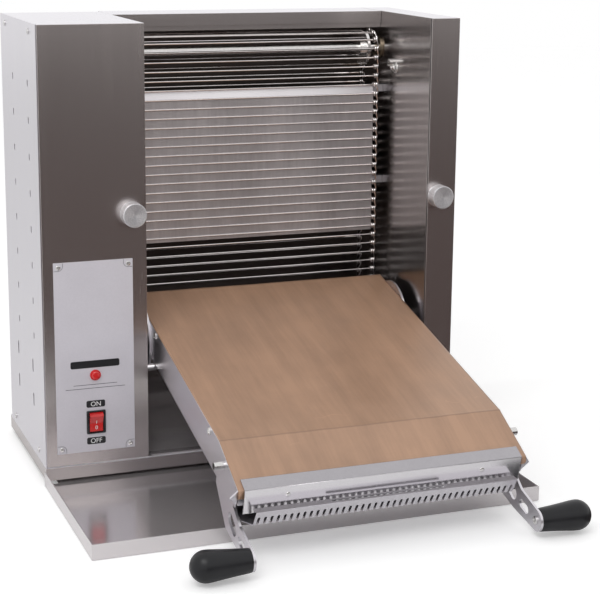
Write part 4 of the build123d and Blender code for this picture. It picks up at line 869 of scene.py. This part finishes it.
CLOTH_ROWS, CLOTH_COLUMNS = 170, 130
CLOTH_INSET = 0.2  # from the side of the cloth's solid
# The cloth's soft waves: height, waves across, waves along and start of each.
CLOTH_WAVES = (
    (1, 1.6, 2.3, 0.4), (0.7, 3.1, -1.2, 1.9), (0.5, 0.7, 5.3, 0.8), (0.35, 7.3, 2.9, 2.7)
)


def cloth_shape(x, wrinkle):
    """The cloth as a grid: its points, the distance run down each row, and that of each knot.

    The lift off the profile is wrinkle times the mean of h sin(2 pi (a u + l v) + s) over the
    waves, calmed to nought at the sides and the free end, plus a ridge exp(-(d / width)^2) at
    the bend. Past the free edge the corners bulge as sin(pi p) times a smooth step.
    """
    hold_length, ridge_height, ridge_width = 22.0, 0.35, 2.2
    corner_width, corner_height = 6.0, 3.2
    along, below, run, reached = cloth_profile(CLOTH_ROWS)
    wide, long = x[-1] - x[0], reached[-1]
    u = ((x - x[0]) / wide)[None, :]
    v = (run / long)[:, None]
    from_edge = np.minimum(u, 1 - u)
    wave = sum(
        tall * np.sin(TAU * (across * u + lengthwise * v) + start)
        for tall, across, lengthwise, start in CLOTH_WAVES
    ) / sum(row[0] for row in CLOTH_WAVES)
    hold = np.minimum(1, (reached[2] - run) / hold_length).clip(0)[:, None]
    calm = np.minimum(1, from_edge * 14)
    ridge = ridge_height * np.exp(-(((run - reached[1]) / ridge_width) ** 2))[:, None]
    lift = wrinkle * wave * hold * calm + ridge
    past = ((run - reached[3]) / (long - reached[3])).clip(0, 1)[:, None]
    edge = (1 - from_edge * wide / corner_width).clip(0, 1)
    bulge = corner_height * np.sin(math.pi * past) * edge * edge * (3 - 2 * edge)
    flare = np.where(run > reached[1], FLARE, 0.0)[:, None]
    a = along[:, None] + lift * np.sin(flare) + bulge * math.cos(FLARE)
    b = below[:, None] - lift * np.cos(flare) + bulge * math.sin(FLARE)
    return on_open_door(x[None, :], a, b).reshape(-1, 3), run, reached


class TOASTER_OT_cooking_cloth(bpy.types.Operator):
    """Stretch the brown coated cloth over the platen, with its soft waves and its fold"""

    bl_idname = "toaster.cooking_cloth"
    bl_label = "Cooking Cloth"

    def execute(self, context):
        chosen = context.scene.toaster_cloth
        low, high = limits("ptfe_sheet")
        x = np.linspace(low[0] + CLOTH_INSET, high[0] - CLOTH_INSET, CLOTH_COLUMNS)
        points, run, reached = cloth_shape(x, chosen.wrinkle / MM)
        # The third tone darkens the line along the fold: painted shade at the bend.
        tones = {"Light": 1.12, "Dark": 0.86, "Crease": 0.5, "Scuff": 1.6}
        values = {key: paint(chosen.colour, factor) for key, factor in tones.items()}
        values.update({"Threads": 5200.0, "Fold": reached[1] * MM})
        cloth = surface(
            "ptfe_brown-weave", "coated_cloth", values, 0.0, 0.25, 0.12,
            source="UV", constants=coat(0.1, 0.3),
        )
        shape = points, grid_faces(len(run), len(x))
        piece = new_object("cooking_cloth", shape, cloth, "door", angle=80)
        spread = together(((x - x[0]) * MM)[None, :], (run * MM)[:, None]).reshape(-1, 2)
        corner = np.empty(len(piece.data.loops), np.int32)
        piece.data.loops.foreach_get("vertex_index", corner)
        layer = piece.data.uv_layers.new(name="cloth")
        layer.data.foreach_set("uv", spread[corner].astype(np.float32).ravel())
        normals_up(piece)
        shell = piece.modifiers.new("thickness", "SOLIDIFY")
        shell.thickness = 0.28 * MM
        shell.offset = 0
        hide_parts("ptfe_sheet")
        return {"FINISHED"}


def normals_up(piece):
    """Flip an open surface so that most of its faces look up."""
    mesh = piece.data
    total = np.empty(len(mesh.polygons) * 3, np.float32)
    mesh.polygons.foreach_get("normal", total)
    if total.reshape(-1, 3)[:, 2].sum() < 0:
        mesh.flip_normals()


class TOASTER_OT_knobs(bpy.types.Operator):
    """Turn the two aluminium adjusting knobs"""

    bl_idname = "toaster.knobs"
    bl_label = "Knobs"

    def execute(self, context):
        for side in ("left", "right"):
            node = "knob_" + side
            low, high = limits(node)
            centre = (low + high) / 2
            radius = (high[0] - low[0]) / 2
            back = low[1] - high[1]
            profile = [
                (0, -0.9), (0.6, -0.86), (radius - 1.0, -0.05), (radius - 0.35, -0.35),
                (radius - 0.05, -0.9), (radius, -1.6), (radius, back + 2.4),
                (radius - 0.5, back + 1.9), (radius - 0.5, back + 1.4), (radius, back + 0.9),
                (radius - 0.2, back + 0.2), (radius - 0.7, back), (0, back),
            ]
            tones = {"Light": paint((0.86, 0.85, 0.87)), "Dark": paint((0.56, 0.55, 0.57))}
            metal = surface(
                "knob_metal-turned_" + side, "turned_rings_painted_fans", tones, 0.75, 0.02, 0.01,
                (1, 0.15, 1), placed([centre[0], 0, centre[2]]).tolist(),
            )
            shape = revolved(profile, (centre[0], low[1], centre[2]), FORWARD, 96)
            stand_in(node, "_turned", shape, metal, 28)
        return {"FINISHED"}


class TOASTER_OT_grips(bpy.types.Operator):
    """Turn the two black lever grips"""

    bl_idname = "toaster.grips"
    bl_label = "Grips"

    def execute(self, context):
        colour = context.scene.toaster_controls.black
        dull = {"Specular IOR Level": 0.32}
        black = plastic("black_plastic-satin", colour, (0.3, 0.42), 1200.0, 0.05, dull)
        for side, sign in (("left", -1), ("right", 1)):
            low, high = limits("grip_" + side)
            centre = (low + high) / 2
            root = low[0] if sign > 0 else high[0]
            length = high[0] - low[0]
            big = (high[2] - low[2]) / 2
            small = big - 4.5
            ball = np.linspace(0, math.pi / 2, 14)
            dome = together(big * np.cos(ball), length - big + big * np.sin(ball))
            stem = [
                (0, 0.0), (small - 1.2, 0.0), (small - 0.35, 0.35), (small, 1.2),
                (small + 0.5, 8.0), (small + 1.5, 20.0), (small + 2.9, 34.0),
                (big - 0.35, length - big - 6),
            ]
            profile = np.vstack([stem, dome[:-1], [(0, length)]])
            shape = revolved(profile, (root, centre[1], centre[2]), (sign, 0, 0), 72)
            stand_in("grip_" + side, "_moulded", shape, black, 50)
        return {"FINISHED"}


def screw_shape(centre, outward, head, height, shank, length, turn):
    """A pan-head screw as one revolved grid with a cross recess.

    The head's height is a flattened dome, less a recess: two crossed slots whose walls
    are smooth steps of the distance across and along each slot.
    """
    spread = np.sqrt(np.linspace(0, 1, 15))
    dome = height * (1 - 0.32 * spread**2 - 0.1 * spread**8)
    profile = list(zip(head * spread, dome))
    profile += [(head, height * 0.35), (head * 0.99, height * 0.1), (head * 0.96, 0.0)]
    profile += [(shank, 0.0), (shank, -length + 0.6), (shank * 0.7, -length), (0, -length)]
    arm, half = head * 0.62, head * 0.13

    def slot(across, along):
        wall = ((half - np.abs(across)) / (half * 0.7) + 0.5).clip(0, 1)
        return wall * ((arm - np.abs(along)) / (arm * 0.35)).clip(0, 1)

    def recessed(radius, angle, given):
        one, other = np.cos(angle - turn) * radius, np.sin(angle - turn) * radius
        cut = height * 0.62 * np.maximum(slot(one, other), slot(other, one))
        return radius, np.where(np.asarray(given) > height * 0.5, given - cut, given)

    return revolved(profile, centre, outward, 40, recessed)


def node_parts(name):
    """The boxes of a CAD node's separate solids."""
    work = bmesh.new()
    work.from_mesh(NODES[name].data)
    bmesh.ops.remove_doubles(work, verts=work.verts, dist=2e-6)
    left = set(work.verts)
    parts = []
    while left:
        seed = left.pop()
        found, queue = [seed], [seed]
        while queue:
            for edge in queue.pop().link_edges:
                for vertex in edge.verts:
                    if vertex in left:
                        left.remove(vertex)
                        found.append(vertex)
                        queue.append(vertex)
        cloud = plan([vertex.co[:] for vertex in found])
        parts.append((cloud.min(axis=0), cloud.max(axis=0)))
    work.free()
    return sorted(parts, key=lambda part: tuple(np.round(part[0], 1)))


# Each row of screws: head radius, head height, shank radius and length.
SCREWS = {
    "cover_screws": (3.8, 2.0, 2.0, 9.0),
    "plate_screws": (3.0, 1.4, 1.5, 7.0),
    "door_screws": (5.0, 2.6, 2.5, 18.0),
}
# The door's screws below this height hold the grips, from the levers' inner sides.
GRIP_SCREWS_BELOW = 60.0


class TOASTER_OT_fasteners(bpy.types.Operator):
    """Cut the pan-head screws with their cross recesses"""

    bl_idname = "toaster.fasteners"
    bl_label = "Fasteners"

    def execute(self, context):
        for node, (head, height, shank, length) in SCREWS.items():
            shapes = []
            for index, (low, high) in enumerate(node_parts(node)):
                seat, out = (low + high) / 2, (-1, 0, 0)
                if node == "cover_screws":
                    seat[0] = low[0] + height
                elif node == "plate_screws":
                    seat[1], out = low[1] + height, FORWARD
                elif (seat[0] < HINGE[0]) != (seat[2] < GRIP_SCREWS_BELOW):
                    seat[0] = low[0] + height
                else:
                    seat[0], out = high[0] - height, (1, 0, 0)
                turn = 0.4 + 0.9 * index
                shapes.append(screw_shape(seat, out, head, height, shank, length, turn))
            stand_in(node, "_cut", joined(shapes), bright_screw(), 35)
        return {"FINISHED"}


def label_box(centre, width, height):
    """A rounded rectangle 0.25 mm proud of the plate: rings of one outline, drawn in to a middle.

    The outline is (h - r) sign(cos a) + r cos a across and the same with sin a upright, with
    a from 0 to 2 pi; each ring has its own inset and its own height above the plate.
    """
    corner, steps = 2.4, 48
    angle = TAU * (np.arange(steps) + 0.5) / steps
    cosine, sine = np.cos(angle), np.sin(angle)
    inset = np.array([0.0, 0.0, 0.12, 1.0])
    rise = np.array([0.0, 0.18, 0.25, 0.25])
    x = (width / 2 - corner) * np.sign(cosine) + (corner - inset[:, None]) * cosine
    z = (height / 2 - corner) * np.sign(sine) + (corner - inset[:, None]) * sine
    points = together(centre[0] + x, -rise[:, None], centre[1] + z).reshape(-1, 3)
    faces = grid_faces(len(inset), steps, closed=True)
    last = (len(inset) - 1) * steps
    faces.append(list(range(last, last + steps)))
    return points, faces


def strip_on_plate(path, half=0.3, rise=0.04):
    """A thin flat line on the plate: the path's points moved to either side of it."""
    along = unit(np.gradient(path, axis=0))
    side = together(-along[:, 1], along[:, 0]) * half
    both = np.stack([path + side, path - side], axis=1)
    points = together(both[..., 0], -rise, both[..., 1])
    return points.reshape(-1, 3), grid_faces(len(path), 2)


def corner_line(corner_x, corner_z, side_x, side_z):
    """The outline of a corner tab: straight in from both edges, joined by a quarter circle."""
    wide, tall, bend = 12.0, 10.5, 6.0
    turn = np.linspace(0, math.pi / 2, 10)
    x = np.concatenate([[wide], wide - bend + bend * np.cos(turn), [0.4]])
    z = np.concatenate([[0.4], tall - bend + bend * np.sin(turn), [tall]])
    return strip_on_plate(together(corner_x + side_x * x, corner_z + side_z * z))


def ruled_line(middle_x, z, width):
    """A straight thin line across the plate."""
    x = middle_x + np.linspace(-width / 2, width / 2, 3)
    return strip_on_plate(together(x, z), 0.38)


def written(words, x, z, node, height, rise):
    """Short words as flat faces, laid on a node's front and facing out of it."""
    curve = bpy.data.curves.new("words", "FONT")
    curve.body = words
    curve.size = height * 1.37
    curve.align_x = "CENTER"
    carrier = linked("words", curve)
    bpy.context.view_layer.update()
    mesh = bpy.data.meshes.new_from_object(carrier)
    flat = np.array([vertex.co[:2] for vertex in mesh.vertices])
    faces = [list(face.vertices) for face in mesh.polygons]
    bpy.data.objects.remove(carrier)
    bpy.data.curves.remove(curve)
    bpy.data.meshes.remove(mesh)
    flat += (x, z) - (flat.min(axis=0) + flat.max(axis=0)) / 2
    front = front_of(node, flat[:, 0], flat[:, 1])
    return together(flat[:, 0], front + rise, flat[:, 1]), faces


def front_of(node, x, z):
    """How far back a node's front lies at each place, found by looking along +Y."""
    work = bmesh.new()
    work.from_mesh(NODES[node].data)
    tree = BVHTree.FromBMesh(work)
    work.free()
    start = -600.0
    hits = [
        tree.ray_cast(Vector(placed((px, start, pz))), Vector((0, 1, 0)))[0]
        for px, pz in zip(x, z)
    ]
    if None in hits:
        raise RuntimeError(f"{node} has no front at one of the places")
    return np.array([plan(hit)[1] for hit in hits])


def front_and_slope(node, x, z):
    """A place on a node's front and the way that it faces, from three looks along +Y."""
    here = front_of(node, np.array([x, x, x]), np.array([z, z + 1.0, z - 1.0]))
    return here[0], (0, -1, (here[1] - here[2]) / 2)


def hexagon(centre, axis, flat, start, stop):
    """A nut: its radius is flat / cos(a - 60 k) toward the nearest flat, with its corners eased."""

    def six_sided(scale, angle, height):
        nearest = (angle + math.pi / 6) % (math.pi / 3) - math.pi / 6
        return scale * np.minimum(flat / np.cos(nearest), flat * 1.12), height

    profile = [(1, start), (1, stop - 0.7), (0.93, stop), (0, stop)]
    return revolved(profile, centre, axis, 48, six_sided)


class TOASTER_OT_rivets(bpy.types.Operator):
    """Set the clip's two rivets and the bolt with its nut on the well's right wall"""

    bl_idname = "toaster.rivets"
    bl_label = "Rivets"

    def execute(self, context):
        bright = bright_screw()
        height = middle_of("sheet_clip")[2]
        dome = np.linspace(0, math.pi / 2, 7)
        profile = together(3.2 * np.sin(dome), 1.1 * np.cos(dome))
        profile = np.vstack([profile, [(3.1, -0.15), (0, -0.15)]])
        shapes = []
        for x in RIVETS_X:
            face, out = front_and_slope("sheet_clip", x, height)
            shapes.append(revolved(profile, (x, face, height), out, 24))
        rivets = joined(shapes)
        facing_out(new_object("clip_rivets", rivets, bright, "door", angle=50))
        seat, inward = (limits("column_liner")[0][0], BOLT_Y, BOLT_Z), (-1, 0, 0)
        washer = [(0, 1.0), (7.2, 1.0), (7.5, 0.7), (7.5, -0.1), (0, -0.1)]
        thread = [(0, 8.2), (2.0, 8.2), (2.9, 7.4), (2.9, 1), (0, 1)]
        bolt = joined([
            revolved(washer, seat, inward, 36),
            hexagon(seat, inward, 5.0, 1.0, 5.0),
            revolved(thread, seat, inward, 24),
        ])
        facing_out(new_object("wall_bolt", bolt, bright, "body", angle=25))
        return {"FINISHED"}


LABEL_SIZE, BLANK_SIZE = (24.6, 9.2), (64.0, 9.6)
ON_RISE, OFF_DROP, BLANK_RISE = 24.5, 25.0, 14.6
WORD_HEIGHT, MARK_HEIGHT = 6.4, 5.0
RULED_LINES = ((12.6, 57.0), (17.4, 78.0))  # drop below the lamp and width of each


class TOASTER_OT_controls(bpy.types.Operator):
    """Finish the control plate with its lamp, rocker, marks and labels"""

    bl_idname = "toaster.controls"
    bl_label = "Controls"

    def execute(self, context):
        chosen = context.scene.toaster_controls
        face = skin(
            "control_face-satin", paint(chosen.face, 1.03), paint(chosen.face, 0.96),
            (0.3, 0.42), 500.0, 0.0, 0.05, coat(0.15, 0.2), 0.02,
        )
        softened("control_plate", face, 0.2, 15.0)
        black = plastic(
            "black_plastic-gloss", chosen.black, (0.16, 0.27), 1200.0, 0.05, coat(0.3, 0.12)
        )
        softened("switch_body", black, 0.25, 8.0)
        red = plastic("red_lens-clear", chosen.red, (0.12, 0.2), 600.0, 0.04, coat(0.6, 0.06))
        softened("switch_rocker", red, 0.5, 5.0)
        dress(red, "lamp_body", "lamp_lens")
        ink = plastic("black_plastic-label", chosen.black, (0.3, 0.42), 800.0, 0.05)
        white = plastic("knob_metal-white_ink", (0.82, 0.82, 0.82), (0.4, 0.5), 800.0, 0.05)
        grey = plastic("knob_metal-grey_ink", (0.11, 0.11, 0.12), (0.45, 0.6), 800.0, 0.05)
        low, high = limits("control_plate")
        face_y = (0, low[1], 0)
        switch_x, _, switch_z = middle_of("switch_rocker")
        lamp_x, _, lamp_z = middle_of("lamp_lens")
        on_z, off_z = switch_z + ON_RISE, switch_z - OFF_DROP
        boxes = [label_box((switch_x, z), *LABEL_SIZE) for z in (on_z, off_z)]
        boxes.append(label_box((lamp_x, lamp_z + BLANK_RISE), *BLANK_SIZE))
        boxes = moved(joined(boxes), face_y)
        new_object("label_boxes", boxes, ink, "body", angle=30)
        on_plate = ("control_plate", WORD_HEIGHT, -0.3)
        on_rocker = ("switch_rocker", MARK_HEIGHT, -0.06)
        words = [
            written("ON", switch_x, on_z, *on_plate),
            written("OFF", switch_x, off_z, *on_plate),
        ]
        new_object("label_words", joined(words), white, "body", smooth=False)
        marks = [
            written("I", switch_x, switch_z + 0.6, *on_rocker),
            written("0", switch_x, switch_z - 6.8, *on_rocker),
        ]
        new_object("rocker_marks", joined(marks), white, "rocker", smooth=False)
        lines = [
            corner_line(x, z, side_x, side_z)
            for side_x, x in ((1, low[0]), (-1, high[0]))
            for side_z, z in ((1, low[2]), (-1, high[2]))
        ]
        for drop, width in RULED_LINES:
            lines.append(ruled_line(lamp_x, lamp_z - drop, width))
        lines = moved(joined(lines), face_y)
        new_object("plate_lines", lines, grey, "body", smooth=False)
        return {"FINISHED"}


class TOASTER_OT_inner_works(bpy.types.Operator):
    """Finish the motor, the thermostat, the gland and the feet"""

    bl_idname = "toaster.inner_works"
    bl_label = "Inner Works"

    def execute(self, context):
        enamel = plastic("motor_grey-enamel", (0.10, 0.11, 0.12), (0.35, 0.5), 500.0, 0.2)
        dress(enamel, "gearmotor")
        matt = plastic("black_matt-moulded", (0.03, 0.03, 0.032), (0.5, 0.65), 700.0, 0.25)
        dress(matt, "thermostat", "cable_gland")
        rubber = plastic("black_rubber-moulded", (0.02, 0.02, 0.02), (0.7, 0.85), 600.0, 0.4)
        dress(rubber, "rubber_feet")
        return {"FINISHED"}


# ---- Stage ----------------------------------------------------------------------------
# The stage's places, in metres.
STAGE_REACH = 6.0
CARD_LEFT, CARD_Y, WALL_Y, WALL_TOP = -0.6, -0.42, -3.0, 0.62
SIDE_CARD_LEFT, SIDE_CARD_BACK = 0.31, 0.3
KEY_PLACE, KEY_TARGET = (-1.2, -1.6, 2.4), (0, 0, 0.3)
JUST_UNDER, JUST_OVER = (-0.0005, -0.0005), (0.0005, 0.0005)


def stood(name, data, axes, place):
    """A lamp or camera on its own three axes at a place in metres."""
    carrier = linked(name, data)
    carrier.matrix_world = Matrix(np.column_stack([*axes, place]).tolist() + [[0, 0, 0, 1]])
    return carrier


def stage_sheet(name, x, y, z, material):
    """A sheet of the stage between limits in metres: flat, or upright where y is one value."""
    mesh = bpy.data.meshes.new(name)
    corners = [(x[0], y[0], z[0]), (x[1], y[0], z[0]), (x[1], y[1], z[1]), (x[0], y[1], z[1])]
    mesh.from_pydata(corners, [], [(0, 1, 2, 3)])
    mesh.materials.append(material)
    sheet = linked(name, mesh)
    return sheet


def glow(name, colour):
    """A finish that gives off one even light."""
    material, tree = new_material(name)
    tree.nodes.clear()
    shine = add(tree, "ShaderNodeEmission", {"Color": (*colour, 1), "Strength": 1.0})
    add(tree, "ShaderNodeOutputMaterial", {"Surface": shine.outputs[0]})
    return material


def dark_card(name, x, y, z, material):
    """A sheet that only reflections show, as a dark card does in a studio."""
    sheet = stage_sheet(name, x, y, z, material)
    for rays in ("camera", "diffuse", "transmission", "volume_scatter", "shadow"):
        setattr(sheet, "visible_" + rays, False)


def floor_finish(colour):
    """A matt floor that the camera sees a little lifted towards white."""
    floor, tree = new_material("stage_floor")
    shader = tree.nodes["Principled BSDF"]
    shader.inputs["Base Color"].default_value = (*colour, 1)
    shader.inputs["Roughness"].default_value = 0.9
    shader.inputs["Emission Color"].default_value = (1, 1, 1, 1)
    seen = add(tree, "ShaderNodeLightPath").outputs["Is Camera Ray"]
    tree.links.new(maths(tree, "MULTIPLY", seen, 0.25), shader.inputs["Emission Strength"])
    return floor


def studio_world(fill):
    """An even white world: full strength where it is seen, mirrored or looked through."""
    world = bpy.data.worlds.new("studio")
    world.use_nodes = True
    tree = world.node_tree
    tree.nodes.clear()
    path = add(tree, "ShaderNodeLightPath").outputs
    seen = maths(tree, "ADD", path["Is Camera Ray"], path["Is Glossy Ray"])
    seen = maths(tree, "ADD", seen, path["Is Transmission Ray"], clamp=True)
    strength = ranged(tree, seen, 0.0, 1.0, fill, 1.0)
    back = add(tree, "ShaderNodeBackground", {"Color": (1, 1, 1, 1), "Strength": strength})
    add(tree, "ShaderNodeOutputWorld", {"Surface": back.outputs[0]})
    return world


def key_lamp(place, target):
    """A large soft lamp that points at a target."""
    lamp = bpy.data.lights.new("key", "AREA")
    lamp.shape = "RECTANGLE"
    lamp.size, lamp.size_y = 1.6, 1.2
    lamp.energy = 22
    return stood("key", lamp, frame_of(np.subtract(place, target)), place)


def studio_camera(lens):
    """The camera at the eye, turned by its yaw, its pitch and its roll."""
    camera = bpy.data.cameras.new("studio_camera")
    camera.lens = lens
    camera.sensor_width = 36.0
    camera.shift_y = -0.0583
    camera.clip_end = 50
    level = math.cos(EYE_PITCH)
    ahead = np.array([-math.sin(EYE_YAW) * level, math.cos(EYE_YAW) * level, math.sin(EYE_PITCH)])
    right = unit(np.cross(ahead, UP))
    up = np.cross(right, ahead)
    turned = math.cos(EYE_ROLL) * right + math.sin(EYE_ROLL) * up
    upright = -math.sin(EYE_ROLL) * right + math.cos(EYE_ROLL) * up
    return stood("studio_camera", camera, (turned, upright, -ahead), placed(EYE))


class TOASTER_OT_stage(bpy.types.Operator):
    """Lay the floor, set the lights and the world, and place the camera"""

    bl_idname = "toaster.stage"
    bl_label = "Stage"

    def execute(self, context):
        scene = context.scene
        chosen = scene.toaster_stage
        scene.view_settings.view_transform = "Standard"
        whole, beside = (-STAGE_REACH, STAGE_REACH), (CARD_LEFT, STAGE_REACH)
        stage_sheet("floor", whole, whole, JUST_UNDER, floor_finish(chosen.floor))
        dark = glow("stage_flag", (0.098, 0.074, 0.07))
        far = glow("stage_wall", (0.05, 0.037, 0.035))
        dark_card("front_flag", beside, (WALL_Y, CARD_Y), JUST_OVER, dark)
        right_of_it, along_it = (SIDE_CARD_LEFT, STAGE_REACH), (CARD_Y, SIDE_CARD_BACK)
        dark_card("side_flag", right_of_it, along_it, JUST_OVER, dark)
        dark_card("front_wall", beside, (WALL_Y, WALL_Y), (JUST_OVER[0], WALL_TOP), far)
        scene.world = studio_world(chosen.fill)
        key_lamp(KEY_PLACE, KEY_TARGET)
        scene.camera = studio_camera(chosen.lens)
        return {"FINISHED"}


OPERATORS = (
    TOASTER_OT_sheet_metal,
    TOASTER_OT_door_metal,
    TOASTER_OT_wire_belt,
    TOASTER_OT_cooking_cloth,
    TOASTER_OT_knobs,
    TOASTER_OT_grips,
    TOASTER_OT_fasteners,
    TOASTER_OT_rivets,
    TOASTER_OT_controls,
    TOASTER_OT_inner_works,
    TOASTER_OT_stage,
)


class TOASTER_PT_finishes(bpy.types.Panel):
    """Lists the toaster's pieces and their settings"""

    bl_idname = "TOASTER_PT_finishes"
    bl_label = "Belt Toaster"
    bl_space_type = "VIEW_3D"
    bl_region_type = "UI"
    bl_category = "Toaster"

    def draw(self, context):
        for name in SETTINGS:
            box = self.layout.box()
            settings = getattr(context.scene, name)
            for key in settings.__annotations__:
                box.prop(settings, key)
        for operator in OPERATORS:
            self.layout.operator(operator.bl_idname)


def register():
    for settings in SETTINGS.values():
        bpy.utils.register_class(settings)
    for name, settings in SETTINGS.items():
        setattr(bpy.types.Scene, name, bpy.props.PointerProperty(type=settings))
    for operator in OPERATORS:
        bpy.utils.register_class(operator)
    bpy.utils.register_class(TOASTER_PT_finishes)


def unregister():
    bpy.utils.unregister_class(TOASTER_PT_finishes)
    for operator in reversed(OPERATORS):
        bpy.utils.unregister_class(operator)
    for name, settings in SETTINGS.items():
        delattr(bpy.types.Scene, name)
        bpy.utils.unregister_class(settings)


def main():
    register()
    for operator in OPERATORS:
        family, name = operator.bl_idname.split(".")
        getattr(getattr(bpy.ops, family), name)()


if __name__ == "__main__":
    main()
